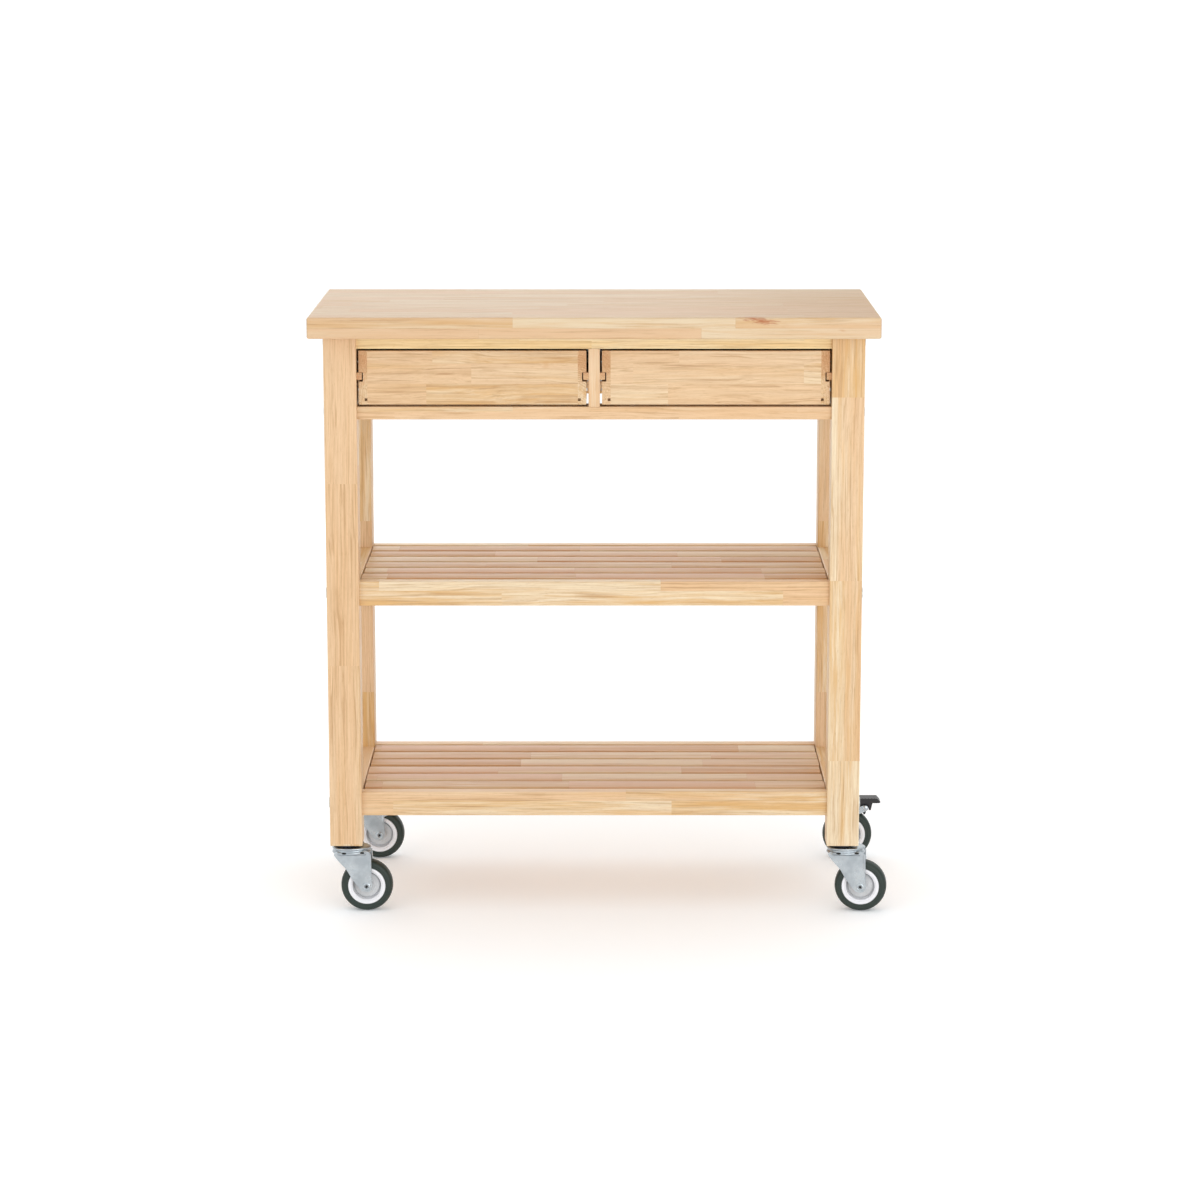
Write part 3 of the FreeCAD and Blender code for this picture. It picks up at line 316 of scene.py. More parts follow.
def knot_mark():
    """A knot or a mineral streak: a mask that fades out from its place, broken up by the grain."""
    group, given = grown_group(
        "knot_mark",
        (
            ("Vector", "Vector", None),
            ("Place", "Vector", None),
            ("Reach", "Vector", None),
            ("Slope", "Float", 0.0),
        ),
        (("Mask", "Float"),),
    )
    take = given.outputs
    offset = vector_calc(group, "SUBTRACT", take["Vector"], take["Place"])
    parts = add(group, "ShaderNodeSeparateXYZ", {0: offset}).outputs
    level = calc(group, "MULTIPLY_ADD", parts["X"], take["Slope"], parts["Z"])
    leaning = add(group, "ShaderNodeCombineXYZ", {0: parts["X"], 1: parts["Y"], 2: level}).outputs[0]
    scaled = vector_calc(group, "DIVIDE", leaning, take["Reach"])
    away = add(group, "ShaderNodeVectorMath", {0: scaled}, operation="LENGTH").outputs["Value"]
    rough = noise(group, stretch(group, leaning, 60.0, 700.0, 700.0), 3.0, 0.7)
    core = ramp(group, calc(group, "MULTIPLY_ADD", rough, 2.2, away), 1.2, 1.8, 1.0, 0.0)
    lines = noise(group, stretch(group, leaning, 25.0, 900.0, 900.0), 2.0)
    lines = ramp(group, lines, 0.36, 0.56, 0.5, 1.0)
    add(group, "NodeGroupOutput", {"Mask": calc(group, "MULTIPLY", core, lines)})
    return group


knot_group = knot_mark()


def emboss(tree, shader, height, strength, depth):
    """Relief on a finish from a height that changes over it."""
    bump = add(tree, "ShaderNodeBump", {"Height": height, "Strength": strength, "Distance": depth})
    tree.links.new(bump.outputs[0], shader.inputs["Normal"])


# How far the grain stands out under the finish, and how much the finish shines.
GRAIN_STRENGTH = 0.35
GRAIN_DEPTH = 0.0003
FINISH_SPECULAR = 0.35


def wood(name, grain, staves, start=(0, 0, 0), roughness=0.0, knots=(), **values):
    """A wood finish: the way its grain runs, stave sizes, where the first stave starts, and any
    knots, each a place and a reach along the turned grain, a slope, a strength and a colour."""
    material, tree, shader = new_material(name)
    spot = add(tree, "ShaderNodeTexCoord").outputs
    turned_spot = add(tree, "ShaderNodeMapping", {"Vector": spot["Object"], "Rotation": grain}).outputs[0]
    centred = vector_calc(tree, "ADD", turned_spot, start)
    facing = add(
        tree, "ShaderNodeMapping", {"Vector": spot["Normal"], "Rotation": grain}, vector_type="VECTOR"
    ).outputs[0]
    inputs = {"Vector": centred, "Normal": facing}
    inputs.update(zip(("Stave Width", "Stave Height", "Stave Length"), staves))
    inputs.update({label.replace("_", " ").title(): value for label, value in values.items()})
    board = tree.nodes.new("ShaderNodeGroup")
    board.node_tree = stave_group
    for label, value in inputs.items():
        if isinstance(value, bpy.types.NodeSocket):
            tree.links.new(value, board.inputs[label])
        else:
            board.inputs[label].default_value = value
    colour = board.outputs["Color"]
    for place, reach, slope, strength, tint in knots:
        knot = tree.nodes.new("ShaderNodeGroup")
        knot.node_tree = knot_group
        tree.links.new(turned_spot, knot.inputs["Vector"])
        for label, value in (("Place", place), ("Reach", reach), ("Slope", slope)):
            knot.inputs[label].default_value = value
        colour = blend(tree, calc(tree, "MULTIPLY", knot.outputs["Mask"], strength), colour, tint)
    tree.links.new(colour, shader.inputs["Base Color"])
    tree.links.new(calc(tree, "ADD", board.outputs["Roughness"], roughness), shader.inputs["Roughness"])
    emboss(tree, shader, board.outputs["Height"], GRAIN_STRENGTH, GRAIN_DEPTH)
    shader.inputs["Specular IOR Level"].default_value = FINISH_SPECULAR
    return material


def finish_node(name, material):
    """Gives a carried-over piece its finish."""
    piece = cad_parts[name]
    for slot in piece.material_slots:
        slot.material = material


top_low, top_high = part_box("worktop")
RED_KNOT = (0.231, top_low.y, top_high.z - 0.004)
SMALL_MARK = (0.345, top_low.y, top_high.z - 0.018)
oiled_top = wood(
    "oiled_worktop",
    ALONG_X,
    (0.042, (top_high.z - top_low.z) / 2, 0.31),
    start=(0.018, 0, -top_low.z),
    pale=shade(213, 193, 162),
    deep=shade(200, 160, 111),
    rosy=shade(209, 173, 136),
    tone_spread=0.4,
    figure=0.35,
    seed=3.0,
    knots=(
        (RED_KNOT, (0.044, 0.034, 0.0085), 0.14, 0.95, shade(164, 92, 54)),
        (SMALL_MARK, (0.010, 0.012, 0.0030), 0.0, 0.5, shade(186, 128, 84)),
    ),
)
finish_node("worktop", oiled_top)

# ---------------------------------------------------------------- legs
# Four square posts, each glued up from three layers of finger-jointed rubberwood, with
# mortises for the side boards. They are lacquered satin like the rest of the frame.

FRAME_PALE = shade(234, 217, 186)
FRAME_DEEP = shade(214, 170, 110)
FRAME_ROSY = shade(226, 189, 149)
# A stave's length, and how far the joints move along from one leg to the next.
LEG_STAVE = 0.262
LEG_SHIFT = 0.208
for index, leg_name in enumerate(("leg_back_left", "leg_back_right", "leg_front_left", "leg_front_right")):
    leg_low, leg_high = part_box(leg_name)
    layers = (leg_high.y - leg_low.y) / 3
    # The staves are a little wider than the leg, so that no joint runs up its face.
    leg_wood = wood(
        f"{leg_name}_lacquer",
        ALONG_Z,
        (layers, (leg_high.x - leg_low.x) * 1.02, LEG_STAVE),
        start=(LEG_SHIFT * index, -leg_low.y, leg_high.x + 0.0004),
        pale=FRAME_PALE,
        deep=FRAME_DEEP,
        rosy=FRAME_ROSY,
        tone_spread=0.6,
        figure=0.45,
        seed=11.0 + index,
    )
    finish_node(leg_name, leg_wood)

# ---------------------------------------------------------------- long rails
# Boards between the legs at the front and the back: one above and one below the drawers, and
# one along each shelf. Each is drawn against its legs by a bolt and a barrel nut at both ends.

RAIL_TONES = (FRAME_PALE, FRAME_DEEP, FRAME_ROSY)
# The top rails are yellower than the rest, and painted lighter: painted light against the shade that the
# worktop's overhang casts on them.
YELLOW_LIT_TONES = (shade(246, 230, 190), shade(232, 196, 130), shade(240, 212, 160))
RAIL_STAVE = 0.40
RAIL_SHIFT = 0.07
for index, rail_name in enumerate(
    (
        "rail_top_back", "rail_top_front", "rail_lower_back", "rail_lower_front",
        "mid_shelf_rail_back", "mid_shelf_rail_front", "bottom_shelf_rail_back", "bottom_shelf_rail_front",
    )
):
    rail_low, rail_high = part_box(rail_name)
    tall = rail_high.z - rail_low.z
    # Top rails take the yellower tones with painted light.
    pale, deep, rosy = YELLOW_LIT_TONES if rail_name.startswith("rail_top") else RAIL_TONES
    rail_wood = wood(
        f"{rail_name}_lacquer",
        ALONG_X,
        (0.05, tall * 0.62, RAIL_STAVE),
        start=(RAIL_SHIFT * index, -rail_low.y, -rail_low.z),
        pale=pale,
        deep=deep,
        rosy=rosy,
        tone_spread=0.55,
        figure=0.45,
        seed=23.0 + index,
    )
    finish_node(rail_name, rail_wood)

# ---------------------------------------------------------------- side boards
# Aprons and shelf end rails run from the back legs to the front legs, and their tenons are
# glued into the legs. The cleats under the slats' ends are screwed to the end rails.

side_wood = wood(
    "side_board_lacquer",
    ALONG_Y,
    (0.06, 0.059, 0.34),
    start=(0, 0.03, -0.717),
    pale=FRAME_PALE,
    deep=FRAME_DEEP,
    rosy=FRAME_ROSY,
    tone_spread=0.6,
    figure=0.45,
    seed=41.0,
)
for board_name in (
    "apron_left", "apron_right", "mid_shelf_end_rails", "bottom_shelf_end_rails", "shelf_cleats"
):
    finish_node(board_name, side_wood)

# ---------------------------------------------------------------- shelf slats
# Six planed slats a shelf, with eased edges and a narrow gap between them, screwed to the
# cleats from below. Each is finger-jointed from short boards of different colours.

SLAT_EDGE = 0.0012


def slat_tree():
    """Boards swept along X and repeated along Y."""
    tree = bpy.data.node_groups.new("row_of_slats", "GeometryNodeTree")
    for label, kind in (
        ("Length", "Float"), ("Width", "Float"), ("Thickness", "Float"), ("Edge", "Float"),
        ("Count", "Int"), ("Pitch", "Float"), ("First", "Vector"), ("Play", "Vector"),
        ("Seed", "Int"), ("Finish", "Material"),
    ):
        tree.interface.new_socket(label, in_out="INPUT", socket_type=f"NodeSocket{kind}")
    tree.interface.new_socket("Geometry", in_out="OUTPUT", socket_type="NodeSocketGeometry")
    take = tree.nodes.new("NodeGroupInput").outputs
    half = calc(tree, "MULTIPLY", take["Length"], 0.5)
    minus = calc(tree, "MULTIPLY", take["Length"], -0.5)
    line = add(
        tree,
        "GeometryNodeCurvePrimitiveLine",
        {
            "Start": add(tree, "ShaderNodeCombineXYZ", {0: minus}).outputs[0],
            "End": add(tree, "ShaderNodeCombineXYZ", {0: half}).outputs[0],
        },
    ).outputs[0]
    section = add(
        tree,
        "GeometryNodeCurvePrimitiveQuadrilateral",
        {"Width": take["Width"], "Height": take["Thickness"]},
    ).outputs[0]
    eased = add(
        tree,
        "GeometryNodeFilletCurve",
        {"Curve": section, "Radius": take["Edge"], "Count": 3},
        mode="POLY",
    ).outputs[0]
    slat = add(
        tree,
        "GeometryNodeCurveToMesh",
        {"Curve": line, "Profile Curve": eased, "Fill Caps": True},
    ).outputs[0]
    step = add(tree, "ShaderNodeCombineXYZ", {1: take["Pitch"]}).outputs[0]
    row = add(
        tree,
        "GeometryNodeMeshLine",
        {"Count": take["Count"], "Start Location": take["First"], "Offset": step},
        mode="OFFSET",
    ).outputs[0]
    slack = add(
        tree,
        "FunctionNodeRandomValue",
        {
            "Min": stretch(tree, take["Play"], -1, -1, -1),
            "Max": take["Play"],
            "Seed": take["Seed"],
        },
        data_type="FLOAT_VECTOR",
    ).outputs[0]
    loose = add(tree, "GeometryNodeSetPosition", {"Geometry": row, "Offset": slack}).outputs[0]
    laid = add(tree, "GeometryNodeInstanceOnPoints", {"Points": loose, "Instance": slat}).outputs[0]
    solid = add(tree, "GeometryNodeRealizeInstances", {0: laid}).outputs[0]
    done = add(tree, "GeometryNodeSetMaterial", {"Geometry": solid, "Material": take["Finish"]}).outputs[0]
    add(tree, "NodeGroupOutput", {"Geometry": done})
    return tree


def grown(name, tree, values, start=None):
    """Runs a tree of Geometry Nodes once and keeps what it makes as a plain mesh."""
    piece = bpy.data.objects.new(name, start or bpy.data.meshes.new(f"{name}_start"))
    scene.collection.objects.link(piece)
    growth = piece.modifiers.new("growth", "NODES")
    growth.node_group = tree
    for socket in tree.interface.items_tree:
        if socket.in_out == "INPUT" and socket.name in values:
            growth[socket.identifier] = values[socket.name]
    graph = bpy.context.evaluated_depsgraph_get()
    mesh = bpy.data.meshes.new_from_object(piece.evaluated_get(graph))
    piece.modifiers.remove(growth)
    piece.data = mesh
    return piece


def smooth(mesh, crease=35):
    """Smooth faces, sharp where they meet at more than the crease angle."""
    mesh.shade_smooth()
    mesh.set_sharp_from_angle(angle=math.radians(crease))


row_of_slats = slat_tree()
for index, shelf in enumerate(("mid_shelf", "bottom_shelf")):
    slats_low, slats_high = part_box(f"{shelf}_slats")
    count = 6
    gap = 0.008
    width = (slats_high.y - slats_low.y - (count - 1) * gap) / count
    thickness = slats_high.z - slats_low.z
    slat_wood = wood(
        f"{shelf}_slat_lacquer",
        ALONG_X,
        (width + gap, 0.5, 0.27),
        start=(0.2 * index, -slats_low.y + gap / 2, 0),
        pale=shade(217, 190, 154),
        deep=shade(195, 146, 97),
        rosy=shade(207, 161, 125),
        tone_spread=0.8,
        figure=0.45,
        seed=57.0 + index,
    )
    slats = grown(
        f"{shelf}_planed_slats",
        row_of_slats,
        {
            "Length": slats_high.x - slats_low.x - 0.0012,
            "Width": width,
            "Thickness": thickness,
            "Edge": SLAT_EDGE,
            "Count": count,
            "Pitch": width + gap,
            "First": (0.0, slats_low.y + width / 2, slats_high.z - thickness / 2),
            "Play": (0.0006, 0.0003, 0.0),
            "Seed": 5 + index,
            "Finish": slat_wood,
        },
    )
    smooth(slats.data)
    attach(slats, "frame")
    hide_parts(f"{shelf}_slats")

# ---------------------------------------------------------------- divider, beam and runners
# Upright posts part the two drawers, and a beam between the posts carries the inner runners.
# The runners are slim strips screwed on, which the drawers hang on by grooves in their sides.

post_wood = wood(
    "divider_lacquer",
    ALONG_Z,
    (0.08, 0.09, 0.3),
    start=(0, 0.2, 0.04),
    pale=shade(224, 198, 164),
    deep=shade(206, 158, 108),
    rosy=shade(216, 176, 136),
    tone_spread=0.2,
    figure=0.3,
    seed=71.0,
)
for post_name in ("divider_back", "divider_front"):
    finish_node(post_name, post_wood)
finish_node("centre_beam", side_wood)
runner_wood = wood(
    "runner_wood",
    ALONG_Y,
    (0.1, 0.05, 0.5),
    start=(0, 0.02, 0.02),
    roughness=0.1,
    pale=shade(222, 190, 146),
    deep=shade(204, 158, 112),
    rosy=shade(214, 168, 128),
    tone_spread=0.3,
    figure=0.3,
    seed=73.0,
)
finish_node("drawer_runners", runner_wood)

# ---------------------------------------------------------------- drawers
# Two drawers of thin glued boards. The front overlaps nothing and sits flush in the frame; the
# back is screwed between the sides, and a plywood bottom slides into grooves.

DRAWER_PALE = shade(231, 209, 174)
DRAWER_DEEP = shade(212, 170, 116)
DRAWER_ROSY = shade(226, 194, 156)
for index, side in enumerate(("left", "right")):
    panel_low, panel_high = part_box(f"drawer_{side}_back")
    # Only the left drawer's back has a knot.
    place = (-0.068, panel_low.y, 0.795)
    pale_knot = (place, (0.010, 0.02, 0.012), 0.0, 0.30, shade(196, 140, 84))
    panel_wood = wood(
        f"drawer_{side}_panel_lacquer",
        ALONG_X,
        (0.09, (panel_high.z - panel_low.z) / 2.6, 0.24),
        start=(0.12 + 0.05 * index, -panel_low.y, -panel_low.z),
        pale=DRAWER_PALE,
        deep=DRAWER_DEEP,
        rosy=DRAWER_ROSY,
        tone_spread=0.8,
        figure=0.6,
        ring_gap=0.007,
        wave=0.022,
        seed=81.0 + index,
        knots=(pale_knot,) if side == "left" else (),
    )
    finish_node(f"drawer_{side}_back", panel_wood)
    finish_node(f"drawer_{side}_front", panel_wood)
    # The sides' end grain is painted darker brown above the runner grooves: painted shade.
    shaded_ends = []
    for board in ("outer", "inner"):
        board_low, board_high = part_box(f"drawer_{side}_side_{board}")
        place = (board_low.y, -(board_low.x + board_high.x) / 2, board_high.z - 0.013)
        shaded_ends.append((place, (0.012, 0.05, 0.050), 0.0, 0.65, shade(176, 116, 62)))
    side_panel = wood(
        f"drawer_{side}_side_lacquer",
        ALONG_Y,
        (0.7, 0.045, 0.27),
        start=(0.03, 0.35, -panel_low.z),
        pale=DRAWER_PALE,
        deep=DRAWER_DEEP,
        rosy=DRAWER_ROSY,
        tone_spread=0.5,
        figure=0.4,
        seed=91.0 + index,
        knots=shaded_ends,
    )
    finish_node(f"drawer_{side}_side_outer", side_panel)
    finish_node(f"drawer_{side}_side_inner", side_panel)
    plywood = wood(
        f"drawer_{side}_plywood",
        ALONG_X,
        (0.9, 0.9, 2.5),
        start=(0.6, 0.45, 0.01),
        roughness=0.08,
        pale=shade(226, 200, 158),
        deep=shade(208, 172, 128),
        rosy=shade(220, 186, 150),
        tone_spread=0.3,
        figure=0.7,
        ring_gap=0.012,
        seed=97.0 + index,
    )
    finish_node(f"drawer_{side}_bottom", plywood)

# The knobs: turned from one piece each, a waist behind a rounded face, screwed on from inside.


def lathe(profile, steps=64, closed=False):
    """A mesh turned about Z from (radius, height) points; a closed profile makes a ring."""
    solid = bmesh.new()
    rings = []
    for radius, height in profile:
        if radius == 0:
            rings.append([solid.verts.new((0, 0, height))] * steps)
        else:
            ring = []
            for i in range(steps):
                turn = 2 * math.pi * i / steps
                ring.append(solid.verts.new((radius * math.cos(turn), radius * math.sin(turn), height)))
            rings.append(ring)
    pairs = list(zip(rings, rings[1:] + rings[:1])) if closed else list(zip(rings, rings[1:]))
    for lower, upper in pairs:
        for i in range(steps):
            corners = (lower[i], lower[(i + 1) % steps], upper[(i + 1) % steps], upper[i])
            face = tuple(dict.fromkeys(corners))
            if len(face) > 2:
                solid.faces.new(face)
    bmesh.ops.recalc_face_normals(solid, faces=solid.faces)
    return solid


def rounded(points, radius, steps=4):
    """A profile with its inner corners rounded."""
    line = [points[0]]
    for before, corner, after in zip(points, points[1:], points[2:]):
        corner, before, after = Vector(corner), Vector(before), Vector(after)
        reach = min(radius, (before - corner).length * 0.45, (after - corner).length * 0.45)
        start = corner + (before - corner).normalized() * reach
        stop = corner + (after - corner).normalized() * reach
        for i in range(steps + 1):
            t = i / steps
            line.append(tuple(start * (1 - t) ** 2 + corner * 2 * t * (1 - t) + stop * t * t))
    line.append(points[-1])
    return line


def piece(name, solid, material, body, slot, *nodes):
    """Turns finished mesh work into a named piece that rides on its body."""
    mesh = bpy.data.meshes.new(name)
    solid.to_mesh(mesh)
    solid.free()
    mesh.materials.append(material)
    smooth(mesh)
    made = bpy.data.objects.new(name, mesh)
    scene.collection.objects.link(made)
    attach(made, body)
    if nodes:
        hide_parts(*nodes)
    return made


knob_wood = wood(
    "knob_lacquer",
    ALONG_Y,
    (0.9, 0.9, 0.9),
    start=(0.3, 0.45, 0.1),
    pale=DRAWER_PALE,
    deep=DRAWER_DEEP,
    rosy=DRAWER_ROSY,
    tone_spread=0.2,
    figure=0.5,
    seed=101.0,
)
for side in ("left", "right"):
    knob_low, knob_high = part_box(f"drawer_{side}_knob")
    radius = (knob_high.x - knob_low.x) / 2
    length = knob_high.y - knob_low.y
    outline = rounded(
        [
            (0, 0),
            (radius * 0.66, 0),
            (radius * 0.66, length * 0.10),
            (radius * 0.45, length * 0.32),
            (radius * 0.45, length * 0.48),
            (radius * 1.0, length * 0.64),
            (radius * 1.0, length * 0.86),
            (radius * 0.62, length * 0.985),
            (0, length),
        ],
        0.0034,
    )
    knob = lathe(outline, 72)
    knob.transform(
        Matrix.Translation(((knob_low.x + knob_high.x) / 2, knob_low.y, (knob_low.z + knob_high.z) / 2))
        @ Matrix.Rotation(-math.pi / 2, 4, "X")
    )
    body = f"drawer_{side}"
    piece(f"{body}_turned_knob", knob, knob_wood, body, "wood_drawer", f"{body}_knob")

# ---------------------------------------------------------------- bolts and screws
# Zinc-plated steel: flat-headed bolts with a hexagon socket hold the rails to the legs, barrel
# nuts in the rails take them, and countersunk cross-head screws hold everything else.


def plated_steel():
    """Bright zinc plating: a cloudy passivated tint, fine drawing marks and small pits."""
    group, given = grown_group(
        "plated_steel",
        (
            ("Vector", "Vector", None),
            ("Bright", "Color", (0.7, 0.7, 0.7, 1)),
            ("Tinted", "Color", (0.6, 0.6, 0.65, 1)),
            ("Cloud Size", "Float", 90.0),
            ("Polish", "Float", 0.3),
        ),
        (("Color", "Color"), ("Roughness", "Float"), ("Height", "Float")),
    )
    take = given.outputs
    cloud_size = add(group, "ShaderNodeCombineXYZ", dict.fromkeys(range(3), take["Cloud Size"])).outputs[0]
    cloud = noise(group, vector_calc(group, "MULTIPLY", take["Vector"], cloud_size), 3.0, 0.6)
    marks = noise(group, stretch(group, take["Vector"], 300.0, 300.0, 2600.0), 2.0)
    pits = ramp(group, noise(group, stretch(group, take["Vector"], 900.0, 900.0, 900.0), 1.0), 0.62, 0.75)
    colour = blend(group, ramp(group, cloud, 0.3, 0.7), take["Bright"], take["Tinted"])
    colour = blend(group, calc(group, "MULTIPLY", pits, 0.3), colour, (0.25, 0.26, 0.28, 1))
    dull = calc(group, "MULTIPLY_ADD", cloud, 0.16, take["Polish"])
    dull = calc(group, "MULTIPLY_ADD", marks, 0.08, dull)
    relief = calc(group, "MULTIPLY_ADD", marks, 0.4, calc(group, "MULTIPLY", cloud, 0.3))
    relief = calc(group, "SUBTRACT", relief, calc(group, "MULTIPLY", pits, 0.4))
    add(group, "NodeGroupOutput", {"Color": colour, "Roughness": dull, "Height": relief})
    return group


plated_group = plated_steel()


def coated(name, group, relief, **values):
    """A material whose colour, gloss and relief come from a shader group; returns its shader too."""
    material, tree, shader = new_material(name)
    coat = tree.nodes.new("ShaderNodeGroup")
    coat.node_tree = group
    tree.links.new(add(tree, "ShaderNodeTexCoord").outputs["Object"], coat.inputs["Vector"])
    for label, value in values.items():
        coat.inputs[label.replace("_", " ").title()].default_value = value
    tree.links.new(coat.outputs["Color"], shader.inputs["Base Color"])
    tree.links.new(coat.outputs["Roughness"], shader.inputs["Roughness"])
    emboss(tree, shader, coat.outputs["Height"], relief, 0.0002)
    return material, shader


def steel(name, bright, tinted, cloud_size, polish, metal, relief=0.15):
    """A plated finish on its own piece."""
    material, shader = coated(
        name, plated_group, relief, bright=bright, tinted=tinted, cloud_size=cloud_size, polish=polish
    )
    shader.inputs["Metallic"].default_value = metal
    return material


bolt_zinc = steel("bolt_zinc", shade(214, 214, 208), shade(190, 192, 190), 160.0, 0.24, 1.0)


def fixing_tree():
    """The same fixing set in every seat, each turned by its own amount about its axis."""
    tree = bpy.data.node_groups.new("fixings_in_seats", "GeometryNodeTree")
    tree.interface.new_socket("Seats", in_out="INPUT", socket_type="NodeSocketGeometry")
    for label, kind in (("Fixing", "Object"), ("Seed", "Int"), ("Finish", "Material")):
        tree.interface.new_socket(label, in_out="INPUT", socket_type=f"NodeSocket{kind}")
    tree.interface.new_socket("Geometry", in_out="OUTPUT", socket_type="NodeSocketGeometry")
    take = tree.nodes.new("NodeGroupInput").outputs
    facing = add(
        tree, "GeometryNodeInputNamedAttribute", {"Name": "facing"}, data_type="FLOAT_VECTOR"
    ).outputs[0]
    aimed = add(tree, "FunctionNodeAlignRotationToVector", {"Vector": facing}, axis="Z").outputs[0]
    spin = add(
        tree, "FunctionNodeRandomValue", {2: 0.0, 3: 2 * math.pi, "Seed": take["Seed"]}, data_type="FLOAT"
    ).outputs[1]
    about = add(tree, "ShaderNodeCombineXYZ", {2: spin}).outputs[0]
    about = add(tree, "FunctionNodeEulerToRotation", {0: about}).outputs[0]
    spun = add(
        tree, "FunctionNodeRotateRotation", {"Rotation": aimed, "Rotate By": about}, rotation_space="LOCAL"
    ).outputs[0]
    shape = add(tree, "GeometryNodeObjectInfo", {"Object": take["Fixing"]}).outputs["Geometry"]
    set_in = add(
        tree, "GeometryNodeInstanceOnPoints", {"Points": take["Seats"], "Instance": shape, "Rotation": spun}
    ).outputs[0]
    solid = add(tree, "GeometryNodeRealizeInstances", {0: set_in}).outputs[0]
    done = add(tree, "GeometryNodeSetMaterial", {"Geometry": solid, "Material": take["Finish"]}).outputs[0]
    add(tree, "NodeGroupOutput", {"Geometry": done})
    return tree


def seats(node):
    """Where each fixing of a CAD node has its head, and the way its shank points."""
    solid = bmesh.new()
    solid.from_mesh(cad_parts[node].data)
    bmesh.ops.remove_doubles(solid, verts=solid.verts, dist=0.00001)
    found = []
    left = set(solid.verts)
    while left:
        island = {left.pop()}
        edge = list(island)
        while edge:
            for link in edge.pop().link_edges:
                for vert in link.verts:
                    if vert in left:
                        left.discard(vert)
                        island.add(vert)
                        edge.append(vert)
        points = [vert.co for vert in island]
        low = Vector(min(p[i] for p in points) for i in range(3))
        high = Vector(max(p[i] for p in points) for i in range(3))
        axis = max(range(3), key=lambda i: (high - low)[i])
        middle = (low + high) / 2
        reach = max(points, key=lambda p: sum((p[i] - middle[i]) ** 2 for i in range(3) if i != axis))
        way = Vector((0, 0, 0))
        way[axis] = 1.0 if reach[axis] < middle[axis] else -1.0
        head = middle.copy()
        head[axis] = low[axis] if way[axis] > 0 else high[axis]
        found.append((head, way))
    solid.free()
    return sorted(found, key=lambda seat: tuple(seat[0]))


def carve(solid, cutter):
    """One mesh cut out of another."""
    held = []
    for label, shape in (("blank", solid), ("cutter", cutter)):
        mesh = bpy.data.meshes.new(label)
        shape.to_mesh(mesh)
        shape.free()
        held.append(bpy.data.objects.new(label, mesh))
        scene.collection.objects.link(held[-1])
    cut = held[0].modifiers.new("cut", "BOOLEAN")
    cut.operation = "DIFFERENCE"
    cut.solver = "EXACT"
    cut.object = held[1]
    mesh = bpy.data.meshes.new_from_object(held[0].evaluated_get(bpy.context.evaluated_depsgraph_get()))
    result = bmesh.new()
    result.from_mesh(mesh)
    for item in held:
        bpy.data.objects.remove(item)
    return result


def bar(length, width, height):
    """A plain block that cuts one arm of a screw's cross."""
    block = bmesh.new()
    bmesh.ops.create_cube(block, size=1.0)
    block.transform(Matrix.Diagonal((length, width, height, 1.0)))
    return block


def joined(*solids):
    """Several meshes as one."""
    whole = bmesh.new()
    for solid in solids:
        mesh = bpy.data.meshes.new("part")
        solid.to_mesh(mesh)
        solid.free()
        whole.from_mesh(mesh)
        bpy.data.meshes.remove(mesh)
    return whole


def bolt_shape():
    """Flat head with a worn bevel and a hexagon socket; the shank points up from the head."""
    blank = lathe(
        [(0, 0), (0.0066, 0), (0.0076, 0.0003), (0.008, 0.0009), (0.008, 0.0017), (0.0078, 0.002),
         (0.003, 0.002), (0.003, 0.0735), (0.0024, 0.074), (0, 0.074)],
        40,
    )
    socket = lathe([(0, -0.001), (0.0029, -0.001), (0.0029, 0.003), (0, 0.0036)], 6)
    return carve(blank, socket)


# Lengths of the screws, and the sizes of their thread and of the cross in their heads.
LONG_SCREW = 0.030
SHORT_SCREW = 0.020
THREAD_START = 0.009
THREAD_PITCH = 0.0013
PLAIN_POINT = 0.003
CROSS_LENGTH = 0.0042
CROSS_WIDTH = 0.0009
CROSS_DEPTH = 0.003
HAIR = 0.0001


def screw_shape(length):
    """Countersunk cross-head screw, its face at the origin and its point up, with its thread."""
    thread = []
    count = int((length - THREAD_START - PLAIN_POINT) / THREAD_PITCH)
    for i in range(count):
        height = THREAD_START + i * THREAD_PITCH
        thread += [(0.00155, height), (0.002, height + 0.0005), (0.00155, height + 0.001)]
    blank = lathe(
        [(0, 0), (0.0036, 0), (0.004, 0.0003), (0.004, 0.0005), (0.002, 0.0024), (0.0017, 0.0085)]
        + thread
        + [(0.0013, length - 0.002), (0, length)],
        20,
    )
    # One arm is a hair shorter and deeper than the other, so that no two cuts share a plane.
    along = bar(CROSS_LENGTH, CROSS_WIDTH, CROSS_DEPTH)
    across = bar(CROSS_WIDTH, CROSS_LENGTH - HAIR, CROSS_DEPTH + HAIR)
    return carve(carve(blank, along), across)


fixings = fixing_tree()


def set_fixings(name, shape, node, chosen, finish, body, seed):
    """Copies of one fixing in the chosen seats of a CAD node."""
    mesh = bpy.data.meshes.new(f"{name}_shape")
    shape.to_mesh(mesh)
    shape.free()
    smooth(mesh)
    master = bpy.data.objects.new(f"{name}_shape", mesh)
    scene.collection.objects.link(master)
    points = bpy.data.meshes.new(f"{name}_seats")
    points.from_pydata([head for head, way in chosen], [], [])
    facing = points.attributes.new("facing", "FLOAT_VECTOR", "POINT")
    for index, (head, way) in enumerate(chosen):
        facing.data[index].vector = way
    made = grown(name, fixings, {"Fixing": master, "Seed": seed, "Finish": finish}, points)
    bpy.data.objects.remove(master)
    smooth(made.data)
    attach(made, body)
    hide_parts(node)
    return made


set_fixings("rail_bolts", bolt_shape(), "frame_bolts", seats("frame_bolts"), bolt_zinc, "frame", seed=2)

